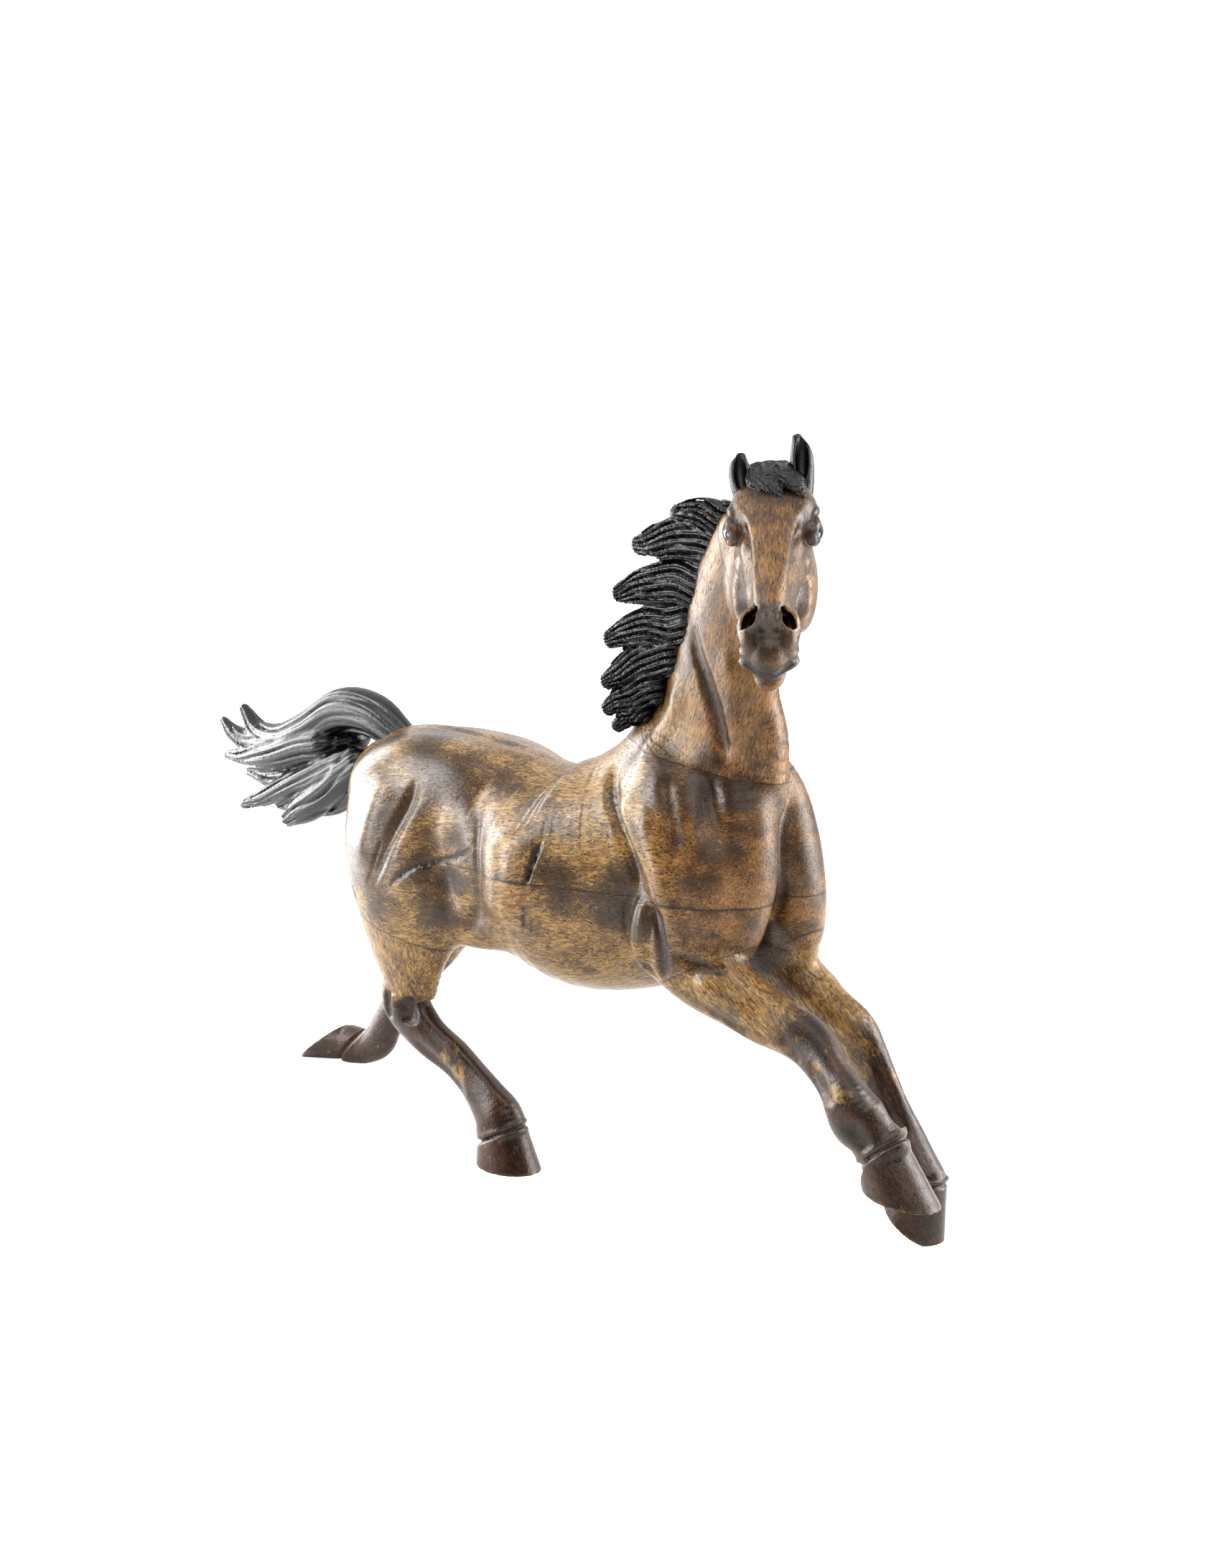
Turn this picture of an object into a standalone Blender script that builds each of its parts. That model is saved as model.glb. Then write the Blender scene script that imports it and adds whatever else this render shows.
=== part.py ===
"""A galloping horse statuette, carved from blocks of wood that are glued on dowels.

Blender 4.5, metres, +Z up. The horse faces -Y, its left side is +X, and it stands on z = 0
on its right hind hoof, its left hind foot and the toe of its left fore hoof.
Body places are written in millimetres as (forward, left, up), and head places as
(down the face, left, out of the face) from the poll.
"""

import math

import bmesh
import bpy
import numpy as np
from mathutils import Matrix, Vector

MM = 0.001
# These put the middle of the whole statuette over the origin.
FORWARD_SHIFT = -22.45
LEFT_SHIFT = -20.55
GLUE_LINE = 0.3
FAR = 900.0

HEAD_YAW, HEAD_PITCH, HEAD_ROLL = -53.4, 33.1, 0.9  # degrees: turned right, face down
HEAD_SIZE = 0.978
POLL = (143.6, -18.8, 382.1)

# Each row is forward, left, up, half the width across, half the depth the other way.
TRUNK = [
    (-140, -2, 188, 30, 36), (-122, -2, 190, 39, 42), (-94, -2, 188, 45, 45), (-58, -2, 181, 45, 49),
    (-22, -2, 170, 50, 54), (8, -2, 164, 52, 61), (38, 1, 170, 48, 63), (66, 4, 178, 44, 59),
    (92, 7, 182, 42, 52), (105, 9, 182, 32, 42), (113, 9, 182, 17, 27),
]
NECK = [
    (64, 3, 204, 30, 46), (87, 3, 228, 27.5, 49), (98.5, 0, 252, 21.5, 41), (104.5, -6, 277, 17.5, 33),
    (112, -10, 302, 15.5, 28.5), (122, -13.5, 328, 15.5, 27), (131, -15.5, 350, 15, 23),
]
HIND_RIGHT = [
    (-112, -26, 206, 22, 38), (-104, -32, 180, 24, 44), (-98, -36, 152, 21.5, 43), (-96, -37, 126, 17, 36),
    (-95, -38, 108, 13.5, 28), (-94, -38, 94, 11.5, 20), (-97, -39, 80, 10.5, 16.5), (-82, -37, 64, 9, 12.5),
    (-63, -35, 54, 8.5, 11), (-49, -34, 44, 8.5, 11), (-38, -34, 35, 9.5, 13), (-30, -34, 27, 11.5, 15.5),
    (-27, -34, 20, 12, 16.5),
]
HIND_LEFT = [
    (-114, 22, 206, 22, 38), (-112, 30, 180, 23, 42), (-114, 34, 152, 19, 36), (-124, 37, 126, 15, 25),
    (-140, 39, 104, 11, 16), (-156, 40, 87, 9.5, 15), (-170, 38, 70, 8.5, 12), (-184, 37, 52, 7.8, 10.5),
    (-195, 36, 34, 7.8, 10.5), (-204, 36, 20, 9, 11.5), (-216, 35.5, 13, 9.5, 11), (-228, 34, 12, 11, 12),
]
FORE_RIGHT = [
    (88, -26, 146, 15, 24), (106, -25, 133, 15, 20), (128, -25, 124, 13.5, 16.5), (150, -26, 117, 12, 14),
    (171, -27, 112, 11, 13), (184, -30, 106, 9, 12), (197, -35, 97, 7.8, 10.5), (206, -38, 90, 8.2, 11),
    (213, -37, 82, 9.5, 14), (219, -35, 75, 10.5, 15.5), (225, -33, 68, 11.5, 16),
]
FORE_LEFT = [
    (92, 34, 146, 14, 24), (104, 35, 130, 14, 20), (122, 36, 117, 13.5, 16.5), (140, 36, 107, 12, 14),
    (157, 36, 98, 11, 13), (165, 36.5, 88, 9, 12), (174, 37, 74, 7.8, 10.5), (182, 37, 60, 7.8, 10.5),
    (188, 37, 49, 9, 12), (195, 35.5, 38, 10, 13.5), (201, 34, 29, 11.5, 15),
]

# The two breast muscles.
BREAST_RIGHT = [
    (112, -5, 234, 10, 10), (119, -8, 214, 15, 16), (120, -9, 186, 17, 18), (118, -11, 166, 17, 17.5),
    (116, -15, 150, 15, 16), (115, -18, 144, 12, 13),
]
BREAST_LEFT = [
    (108, 23, 234, 10, 10), (114.5, 26, 214, 15, 16), (120, 27, 186, 17.5, 18), (122, 29, 166, 17.5, 18),
    (122, 32, 148, 15, 16), (121, 33, 140, 12, 14),
]

# Muscles: centre, half length, half width across, half depth, the way the length runs.
MUSCLES = [
    ((88, -24, 202), (42, 17, 24), (0.55, -0.12, -0.8)),
    ((92, 36, 202), (42, 17, 24), (0.55, 0.12, -0.8)),
    ((100, -27, 166), (36, 15, 24), (-0.25, 0, -1)),
    ((98, 38, 164), (36, 15, 24), (-0.2, 0, -1)),
    ((-78, -24, 206), (44, 20, 24), (1, 0, -0.03)),
    ((-74, 20, 206), (46, 20, 22), (1, 0, -0.05)),
    ((-54, -36, 137), (30, 14, 18), (1, 0, -0.15)),
    ((-58, 33, 146), (30, 14, 17), (1, 0, -0.15)),
]

# Hooves: middle of the sole, middle of the coronet, the way the toe points, half length,
# half width, and how much narrower the coronet is.
HOOVES = [
    ((-22, -34, -1.5), (-27, -34, 22), (1, 0.05, 0), 19, 14.5, 0.8),
    ((235, -32, 46), (224, -32, 67), (1, 0, -0.1), 20.5, 14.5, 0.8),
    ((200, 32, 6.5), (202, 34, 30), (0.87, 0, -0.5), 18.5, 14, 0.8),
    ((-249, 29, 11), (-226, 35, 11), (-0.76, -0.2, -0.62), 20, 14, 0.78),
]

# The head, in its own frame: rows as above, then muscles as above.
SKULL = [
    (-2, 0, -20, 14, 16), (14, 0, -20, 18.5, 20), (34, 0, -19, 18, 19), (58, 0, -17, 13, 16),
    (86, 0, -15, 10, 13), (104, 0, -15.5, 10, 12.5), (113, 0, -19, 10, 11.5),
]
JAW = [
    (12, 0, -38, 12, 18), (34, 0, -42, 13, 20), (56, 0, -38, 11, 15), (80, 0, -31, 8.5, 11),
    (102, 0, -29, 8.5, 9), (110, 0, -31, 8, 7),
]
HEAD_PAIRS = [
    ((33, 13, -43), (27, 8.5, 21), (1, 0, 0.05)),  # jowl
    ((20, 14.5, -7), (11, 7, 8.5), (1, 0.1, -0.1)),  # brow
    ((32, 17.3, -11), (8.6, 6.8, 6.6), (1, 0.05, -0.12)),  # eye
    ((58, 12.5, -20), (22, 3.4, 4.4), (1, -0.22, 0.08)),  # cheek ridge
    ((108, 8.8, -11), (10, 5.4, 8), (1, 0, -0.35)),  # nostril
    ((113, 7, -21), (7, 7.6, 6.5), (1, 0, -0.3)),  # upper lip
]
CHIN = ((112, 0, -34), (8, 7, 4.6), (1, 0, -0.2))
EAR_RIGHT = [(7, -14, -7, 6, 5), (3, -15.5, -3, 6, 4.4), (-1.5, -16.5, 2, 5.4, 3.6), (-5, -16, 6, 2.6, 2)]
EAR_LEFT = [(7, 13, -7, 6, 5), (1, 13.5, -0.5, 6, 4.4), (-6, 13, 7, 5.4, 3.6), (-11, 11, 12.5, 2.6, 2)]
FORELOCK = [(-3, -2, 0, 6, 5), (6, -3, 2, 6.5, 4.5), (14, -2, 3, 7, 4), (21, 2, 2, 4.5, 3)]

# Locks of hair, each from its root to its tip.
MANE_LOCKS = [
    [(122, -18, 356, 7, 11), (109, -19, 359, 7, 10), (96, -20, 361, 6, 8), (85, -21, 361, 3.5, 4.5)],
    [(110, -17, 346, 7.5, 14), (94, -18, 349, 7, 13), (75, -20, 347, 6, 10), (60, -21, 344, 3.5, 5)],
    [(99, -16, 326, 7.5, 14), (82, -17, 326, 7, 13), (62, -19, 323, 6, 10), (47, -21, 319, 3.5, 5)],
    [(88, -15, 306, 7.5, 13), (72, -16, 304, 7, 12), (54, -18, 300, 6, 9.5), (40, -20, 295, 3.5, 5)],
    [(78, -14, 290, 7, 12), (64, -15, 287, 7, 11.5), (49, -18, 280, 6, 8.5), (38, -20, 273, 3.5, 4.5)],
    [(66, -13, 273, 7, 11), (55, -14, 270, 6.5, 10), (45, -16, 264, 5.5, 7.5), (37, -18, 259, 3.5, 4.5)],
    [(56, -12, 261, 6, 9), (48, -13, 256, 5.5, 7), (41, -14, 250, 4, 4)],
]
TAIL_LOCKS = [
    [(-136, -2, 222, 9, 10), (-158, -3, 233, 12, 13), (-184, -4, 234, 14, 14), (-210, -6, 222, 14, 12),
     (-238, -7, 212, 11, 10), (-262, -6, 214, 8, 7), (-277, -5, 226, 3.5, 3.5)],
    [(-236, -8, 210, 9, 8), (-264, -8, 207, 8, 7), (-284, -8, 211, 6, 5), (-295, -7, 217, 3, 3)],
    [(-200, -9, 214, 12, 12), (-232, -11, 205, 11, 10), (-262, -11, 199, 8, 7), (-288, -10, 197, 3, 3)],
    [(-190, -2, 204, 12, 12), (-224, -1, 194, 11, 10), (-254, 0, 185, 8, 7), (-280, 0, 186, 3, 3)],
    [(-180, -8, 202, 11, 12), (-212, -10, 190, 10, 10), (-246, -11, 177, 7.5, 7), (-271, -12, 168, 3, 3)],
    [(-176, -3, 200, 11, 12), (-204, -3, 185, 10, 10), (-230, -4, 173, 7.5, 7), (-245, -5, 170, 3, 3)],
    [(-168, -9, 204, 10, 12), (-188, -11, 190, 10, 11), (-212, -12, 174, 9, 10), (-228, -12, 165, 5.5, 5.5)],
    [(-160, -2, 206, 9, 10), (-176, -2, 192, 9, 10), (-196, -1, 178, 7.5, 8), (-209, 0, 170, 4, 4)],
    [(-160, 4, 208, 9, 10), (-172, 6, 194, 8, 9), (-186, 7, 180, 4.5, 4.5)],
    [(-190, 6, 216, 11, 12), (-222, 8, 206, 10, 10), (-256, 9, 196, 7, 7), (-278, 10, 192, 3, 3)],
]

# Glue joints: a point on each and the way it faces.
TRUNK_JOINT = ((0, 0, 168), (0, 0, 1))
NECK_JOINT = ((36, 0, 246), (0.17, 0, 0.985))
HEAD_JOINT = ((132, -6, 358), (0.703, -0.597, 0.386))
ELBOW_RIGHT = ((100, -24, 131), (0.45, 0, -0.89))
ELBOW_LEFT = ((104, 35, 129), (0.5, 0, -0.87))
GASKIN_RIGHT = ((-92, -37, 122), (-0.2, 0, -1))
GASKIN_LEFT = ((-123, 37, 126), (0, 0, -1))
FLOOR = ((0, 0, 0), (0, 0, 1))
BELLY_CLEAR = ((-56, 0, 131), (-0.557, 0, -0.83))

# Dowels: middle, the way it runs, radius, half length.
DOWELS = {
    "head_dowel": ((130, -14, 351), HEAD_JOINT[1], 4, 13),
    "neck_dowel_front": ((100, -1, 235), NECK_JOINT[1], 5, 17),
    "neck_dowel_rear": ((68, -1, 240.5), NECK_JOINT[1], 4, 12),
    "trunk_dowel_front": ((70, 2, 168), TRUNK_JOINT[1], 6, 22),
    "trunk_dowel_rear": ((-70, -2, 168), TRUNK_JOINT[1], 6, 22),
    "foreleg_dowel_right": ((103, -25, 129.5), (0.7, 0, -0.7), 4, 12),
    "foreleg_dowel_left": ((104, 35, 129), (0.6, 0, -0.8), 4, 12),
    "hindleg_dowel_right": ((-93, -37, 122), GASKIN_RIGHT[1], 5, 16),
    "hindleg_dowel_left": ((-123, 37, 126), (-0.4, 0.05, -0.9), 5, 16),
}
TAIL_TENON = ((-134, -2, 220), (-0.87, 0, 0.5), 5, 17)
MANE_TENONS = [((97, -15, 321), (-0.93, 0, 0.36), 2.5, 9), ((70, -13, 276), (-0.85, 0, 0.53), 2.5, 9)]
EAR_TENONS = {-1: ((5, -14.5, -9), (-0.4, 0, 0.9), 2, 6), 1: ((5, 13, -9), (-0.4, 0, 0.9), 2, 6)}
FORELOCK_TENON = ((9, 0, -1), (0, 0, 1), 2, 5)

VOXEL = {"body": 2.2, "hair": 1.8, "ear": 0.9}
TRIANGLES = {"body": 6600, "mane": 1200, "tail": 1600, "forelock": 220, "ear": 220}

WOOD = ((0.30, 0.17, 0.065), 0.32)
DARK_WOOD = ((0.10, 0.055, 0.03), 0.34)
BLACK_LACQUER = ((0.022, 0.020, 0.020), 0.24)
DOWEL_WOOD = ((0.52, 0.36, 0.20), 0.6)


def at(place):
    """Turns (forward, left, up) in millimetres into metres."""
    forward, left, up = place
    return Vector((left - LEFT_SHIFT, FORWARD_SHIFT - forward, up)) * MM


def way(direction):
    forward, left, up = direction
    return Vector((left, -forward, up)).normalized()


def head_axes():
    """Columns: down the face, left, and out of the face, in (forward, left, up)."""
    yaw, pitch, roll = map(math.radians, (HEAD_YAW, HEAD_PITCH, HEAD_ROLL))
    face = Vector((math.cos(yaw) * math.cos(pitch), math.sin(yaw) * math.cos(pitch), -math.sin(pitch)))
    left = Vector((-math.sin(yaw), math.cos(yaw), 0))
    out = face.cross(left)
    tilted_left = left * math.cos(roll) + out * math.sin(roll)
    tilted_out = out * math.cos(roll) - left * math.sin(roll)
    return Matrix((face, tilted_left, tilted_out)).transposed()


HEAD_AXES = head_axes()


def on_head(place):
    """Turns a place in the head's frame into (forward, left, up)."""
    return tuple(Vector(POLL) + HEAD_AXES @ Vector(place) * HEAD_SIZE)


def along_head(direction):
    return tuple(HEAD_AXES @ Vector(direction))


def smooth_rows(rows, per_span=5):
    """More rows between the given ones, on a Catmull-Rom curve."""
    given = np.array(rows, float)
    ends = np.vstack([2 * given[0] - given[1], given, 2 * given[-1] - given[-2]])
    out = []
    for i in range(len(given) - 1):
        before, start, end, after = ends[i : i + 4]
        for t in np.arange(per_span) / per_span:
            bend = (2 * before - 5 * start + 4 * end - after) * t**2
            twist = (3 * start - before - 3 * end + after) * t**3
            out.append(0.5 * (2 * start + (end - before) * t + bend + twist))
    out.append(given[-1])
    return np.array(out)


def add_egg(mesh, centre, radii, along, across=(0, 1, 0)):
    """An ellipsoid: radii along its length, across it, and the third way."""
    x = way(along)
    y = way(across)
    y = (y - x * x.dot(y)).normalized()
    turn = Matrix((x, y, x.cross(y))).transposed().to_4x4()
    size = Matrix.Diagonal((radii[0] * MM, radii[1] * MM, radii[2] * MM, 1))
    ball = bpy.data.meshes["unit_ball"].copy()
    ball.transform(Matrix.Translation(at(centre)) @ turn @ size)
    mesh.from_mesh(ball)
    bpy.data.meshes.remove(ball)


def add_tube(mesh, rows, frame=None):
    """A limb of close ellipsoids, which the remesh then makes one skin."""
    rows = smooth_rows(rows)
    runs = np.gradient(rows[:, :3], axis=0)
    across = (0, 1, 0)
    for (x, y, z, wide, deep), run in zip(rows, runs):
        centre, along, side = (x, y, z), tuple(run), across
        if frame:
            centre, along, side = on_head(centre), along_head(run), along_head(across)
            wide, deep = wide * HEAD_SIZE, deep * HEAD_SIZE
        add_egg(mesh, centre, (min(wide, deep), wide, deep), along, side)


def add_hoof(mesh, sole, coronet, toe, half_length, half_width, taper):
    """A leaning cone with a flat sole."""
    rise = at(coronet) - at(sole)
    fore = way(toe)
    side = rise.cross(fore).normalized()
    columns = (fore * half_length * MM, side * half_width * MM, rise)
    place = Matrix(columns).transposed().to_4x4()
    place.translation = (at(sole) + at(coronet)) / 2
    bmesh.ops.create_cone(
        mesh, cap_ends=True, segments=24, radius1=1, radius2=taper, depth=1, matrix=place
    )


def collection(name):
    made = bpy.data.collections.new(name)
    bpy.context.scene.collection.children.link(made)
    return made


def start_scene():
    for obj in list(bpy.data.objects):
        bpy.data.objects.remove(obj, do_unlink=True)
    make_unit_ball()
    return collection("horse_statuette"), collection("cutters")


def make_unit_ball():
    """The ball that every ellipsoid is a stretched copy of."""
    mesh = bmesh.new()
    bmesh.ops.create_uvsphere(mesh, u_segments=16, v_segments=8, radius=1)
    mesh.to_mesh(bpy.data.meshes.new("unit_ball"))
    mesh.free()


def new_object(name, mesh, group):
    data = bpy.data.meshes.new(name)
    bmesh.ops.recalc_face_normals(mesh, faces=mesh.faces)
    mesh.to_mesh(data)
    mesh.free()
    obj = bpy.data.objects.new(name, data)
    group.objects.link(obj)
    return obj


def hide_cutter(obj):
    obj.hide_render = True
    obj.display_type = "WIRE"
    return obj


def fused(name, mesh, voxel, triangles, smoothing, group):
    """One skin over overlapping shapes, with about the given number of triangles."""
    obj = new_object(name + "_shapes", mesh, group)
    remesh = obj.modifiers.new("skin", "REMESH")
    remesh.mode = "VOXEL"
    remesh.voxel_size = voxel * MM
    soften = obj.modifiers.new("soften", "SMOOTH")
    soften.factor = 0.5
    soften.iterations = smoothing
    graph = bpy.context.evaluated_depsgraph_get()
    faces = len(obj.evaluated_get(graph).data.polygons)
    fewer = obj.modifiers.new("fewer", "DECIMATE")
    fewer.ratio = min(1.0, triangles / (2 * faces))
    graph = bpy.context.evaluated_depsgraph_get()
    data = bpy.data.meshes.new_from_object(obj.evaluated_get(graph))
    bpy.data.objects.remove(obj)
    skin = bpy.data.objects.new(name, data)
    group.objects.link(skin)
    return skin


def region(name, planes, group, gap):
    """A big block of space on the inner side of every plane, each but the floor moved in by the gap."""
    mesh = bmesh.new()
    bmesh.ops.create_cube(mesh, size=2 * FAR * MM)
    for point, facing in planes:
        geometry = mesh.verts[:] + mesh.edges[:] + mesh.faces[:]
        normal = way(facing)
        inward = 0 if (point, facing) == FLOOR else gap
        start = at(point) + normal * inward * MM
        cut = bmesh.ops.bisect_plane(mesh, geom=geometry, plane_co=start, plane_no=normal, clear_inner=True)
        edges = [e for e in cut["geom_cut"] if isinstance(e, bmesh.types.BMEdge)]
        bmesh.ops.edgenet_fill(mesh, edges=edges)
    return hide_cutter(new_object(name, mesh, group))


def cylinder(name, centre, along, radius, half_length, group, sides=24):
    mesh = bmesh.new()
    turn = way(along).to_track_quat("Z", "Y").to_matrix().to_4x4()
    bmesh.ops.create_cone(
        mesh,
        cap_ends=True,
        segments=sides,
        radius1=radius * MM,
        radius2=radius * MM,
        depth=2 * half_length * MM,
        matrix=Matrix.Translation(at(centre)) @ turn,
    )
    return new_object(name, mesh, group)


def hole_for(name, centre, along, radius, half_length, group):
    """A dowel's hole, a glue line larger than the dowel all round."""
    hole = cylinder(name, centre, along, radius + GLUE_LINE, half_length + GLUE_LINE, group)
    return hide_cutter(hole)


def boolean(obj, other, operation):
    modifier = obj.modifiers.new(operation.lower() + "_" + other.name, "BOOLEAN")
    modifier.operation = operation
    modifier.solver = "EXACT"
    modifier.object = other


def material(name, look):
    color, roughness = look
    made = bpy.data.materials.new(name)
    made.use_nodes = True
    shader = made.node_tree.nodes["Principled BSDF"]
    shader.inputs["Base Color"].default_value = (*color, 1)
    shader.inputs["Roughness"].default_value = roughness
    shader.inputs["Metallic"].default_value = 0
    made.diffuse_color = (*color, 1)
    return made


def wear(obj, look):
    """Gives the part a material of its own."""
    obj.data.materials.clear()
    obj.data.materials.append(material(obj.name + "_finish", look))


def body_skin(group):
    """Head, neck, trunk, legs and hooves as one skin, before it is cut into blocks."""
    mesh = bmesh.new()
    for rows in (TRUNK, NECK, BREAST_RIGHT, BREAST_LEFT, HIND_RIGHT, HIND_LEFT, FORE_RIGHT, FORE_LEFT):
        add_tube(mesh, rows)
    for centre, radii, along in MUSCLES:
        add_egg(mesh, centre, radii, along)
    for hoof in HOOVES:
        add_hoof(mesh, *hoof)
    add_head(mesh)
    return fused("body_skin", mesh, VOXEL["body"], TRIANGLES["body"], 4, group)


def add_head(mesh):
    add_tube(mesh, SKULL, frame="head")
    add_tube(mesh, JAW, frame="head")
    across = along_head((0, 1, 0))
    muscles = [CHIN]
    for (x, y, z), radii, (dx, dy, dz) in HEAD_PAIRS:
        for side in (-1, 1):
            muscles.append(((x, side * y, z), radii, (dx, side * dy, dz)))
    for centre, radii, along in muscles:
        radii = [r * HEAD_SIZE for r in radii]
        add_egg(mesh, on_head(centre), radii, along_head(along), across)


def grown(skin, name, group):
    """The skin moved out by a glue line, to cut what sits on it."""
    obj = skin.copy()
    obj.data = skin.data.copy()
    obj.name = name
    group.objects.link(obj)
    swell = obj.modifiers.new("glue_line", "DISPLACE")
    swell.strength = 1.3 * GLUE_LINE * MM
    swell.mid_level = 0
    return hide_cutter(obj)


def make_block(name, skin, keep, drop, holes, look, group):
    """One carved block: the skin inside a region, less its neighbours and its dowel holes."""
    block = bpy.data.objects.new(name, skin.data.copy())
    group.objects.link(block)
    boolean(block, keep, "INTERSECT")
    for other in drop:
        boolean(block, other, "DIFFERENCE")
    for hole in holes:
        boolean(block, hole, "DIFFERENCE")
    wear(block, look)
    return block


def flipped(joint):
    point, facing = joint
    return point, tuple(-x for x in facing)


def make_blocks(skin, holes, parts, cutters):
    half = GLUE_LINE / 2
    above_throat = ((0, 0, 290), (0, 0, 1))
    legs = {
        "foreleg_right": [ELBOW_RIGHT, ((0, -4, 0), (0, -1, 0)), ((60, 0, 0), (1, 0, 0))],
        "foreleg_left": [ELBOW_LEFT, ((0, 14, 0), (0, 1, 0)), ((60, 0, 0), (1, 0, 0))],
        "hindleg_right": [GASKIN_RIGHT, ((0, -19, 0), (0, -1, 0)), BELLY_CLEAR],
        "hindleg_left": [GASKIN_LEFT, ((0, 6, 0), (0, 1, 0)), ((-60, 0, 0), (-1, 0, 0))],
    }
    others = {
        "head": [HEAD_JOINT, above_throat],
        "neck": [NECK_JOINT, flipped(HEAD_JOINT)],
        "trunk_upper": [TRUNK_JOINT, flipped(NECK_JOINT)],
        "trunk_lower": [flipped(TRUNK_JOINT), FLOOR],
    }
    taken = [region(name + "_space", planes, cutters, -half) for name, planes in legs.items()]
    for name, planes in others.items():
        keep = region(name + "_region", planes, cutters, half)
        drop = taken if name == "trunk_lower" else []
        make_block(name, skin, keep, drop, holes[name], WOOD, parts)
    for name, planes in legs.items():
        keep = region(name + "_region", planes + [FLOOR], cutters, half)
        make_block(name, skin, keep, [], holes[name], WOOD, parts)


def make_dowels(parts, cutters):
    """The dowels, and the cutters for their holes by name."""
    cut = {}
    for name, (centre, along, radius, half_length) in DOWELS.items():
        wear(cylinder(name, centre, along, radius, half_length, parts), DOWEL_WOOD)
        cut[name] = hole_for(name + "_hole", centre, along, radius, half_length, cutters)
    return cut


def make_tenon(name, tenon, group, frame=None):
    """A round tenon and the cutter for its hole."""
    centre, along, radius, half_length = tenon
    if frame:
        centre, along = on_head(centre), along_head(along)
    peg = hide_cutter(cylinder(name + "_tenon", centre, along, radius, half_length, group, 16))
    return peg, hole_for(name + "_mortise", centre, along, radius, half_length, group)


def trim_skin(name, tubes, voxel, group, frame=None):
    mesh = bmesh.new()
    for rows in tubes:
        add_tube(mesh, rows, frame)
    return fused(name, mesh, voxel, TRIANGLES[name.split("_")[0]], 2, group)


def make_trim(piece, pegs, skin_cutter, look):
    """A piece that sits on the body: less the body, with its tenons."""
    boolean(piece, skin_cutter, "DIFFERENCE")
    for peg in pegs:
        boolean(piece, peg, "UNION")
    wear(piece, look)


def make_trims(parts):
    """The skins of the hair and the ears, before anything is cut."""
    hair, fine = VOXEL["hair"], VOXEL["ear"]
    return {
        "mane": trim_skin("mane", MANE_LOCKS, hair, parts),
        "tail": trim_skin("tail", TAIL_LOCKS, hair, parts),
        "forelock": trim_skin("forelock", [FORELOCK], fine, parts, "head"),
        "ear_right": trim_skin("ear_right", [EAR_RIGHT], fine, parts, "head"),
        "ear_left": trim_skin("ear_left", [EAR_LEFT], fine, parts, "head"),
    }


def main():
    parts, cutters = start_scene()
    skin = hide_cutter(body_skin(cutters))
    trims = make_trims(parts)
    skin_cutter = grown(skin, "body_skin_grown", cutters)
    cut = make_dowels(parts, cutters)
    tail_peg, tail_hole = make_tenon("tail", TAIL_TENON, cutters)
    mane_pegs = [make_tenon(f"mane_{i}", t, cutters) for i, t in enumerate(MANE_TENONS)]
    ear_pegs = {side: make_tenon(f"ear_{side}", t, cutters, "head") for side, t in EAR_TENONS.items()}
    forelock_peg, forelock_hole = make_tenon("forelock", FORELOCK_TENON, cutters, "head")
    holes = {
        "head": [cut["head_dowel"], ear_pegs[-1][1], ear_pegs[1][1], forelock_hole],
        "neck": [cut["head_dowel"], cut["neck_dowel_front"], cut["neck_dowel_rear"]]
        + [hole for _, hole in mane_pegs],
        "trunk_upper": [
            cut["neck_dowel_front"],
            cut["neck_dowel_rear"],
            cut["trunk_dowel_front"],
            cut["trunk_dowel_rear"],
            tail_hole,
        ],
        "trunk_lower": [hole for name, hole in cut.items() if name.startswith(("trunk", "fore", "hind"))],
        "foreleg_right": [cut["foreleg_dowel_right"]],
        "foreleg_left": [cut["foreleg_dowel_left"]],
        "hindleg_right": [cut["hindleg_dowel_right"]],
        "hindleg_left": [cut["hindleg_dowel_left"]],
    }
    make_blocks(skin, holes, parts, cutters)
    mane_tenons = [peg for peg, _ in mane_pegs]
    make_trim(trims["mane"], mane_tenons, skin_cutter, BLACK_LACQUER)
    make_trim(trims["tail"], [tail_peg], skin_cutter, BLACK_LACQUER)
    make_trim(trims["forelock"], [forelock_peg], skin_cutter, BLACK_LACQUER)
    make_trim(trims["ear_right"], [ear_pegs[-1][0]], skin_cutter, DARK_WOOD)
    make_trim(trims["ear_left"], [ear_pegs[1][0]], skin_cutter, DARK_WOOD)


main()
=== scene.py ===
"""Looks of a carved wooden horse statuette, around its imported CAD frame.

Body places are (forward, left, up) in millimetres, and head places (down the face, left, out of the
face) in millimetres from the poll. The carving is a field of distances to its surface: limbs and
muscles are blended together, carved lines and ridges are added, and the zero level becomes the skin,
which is then cut into the blocks that the real figure is glued up from.
"""

import math

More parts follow.
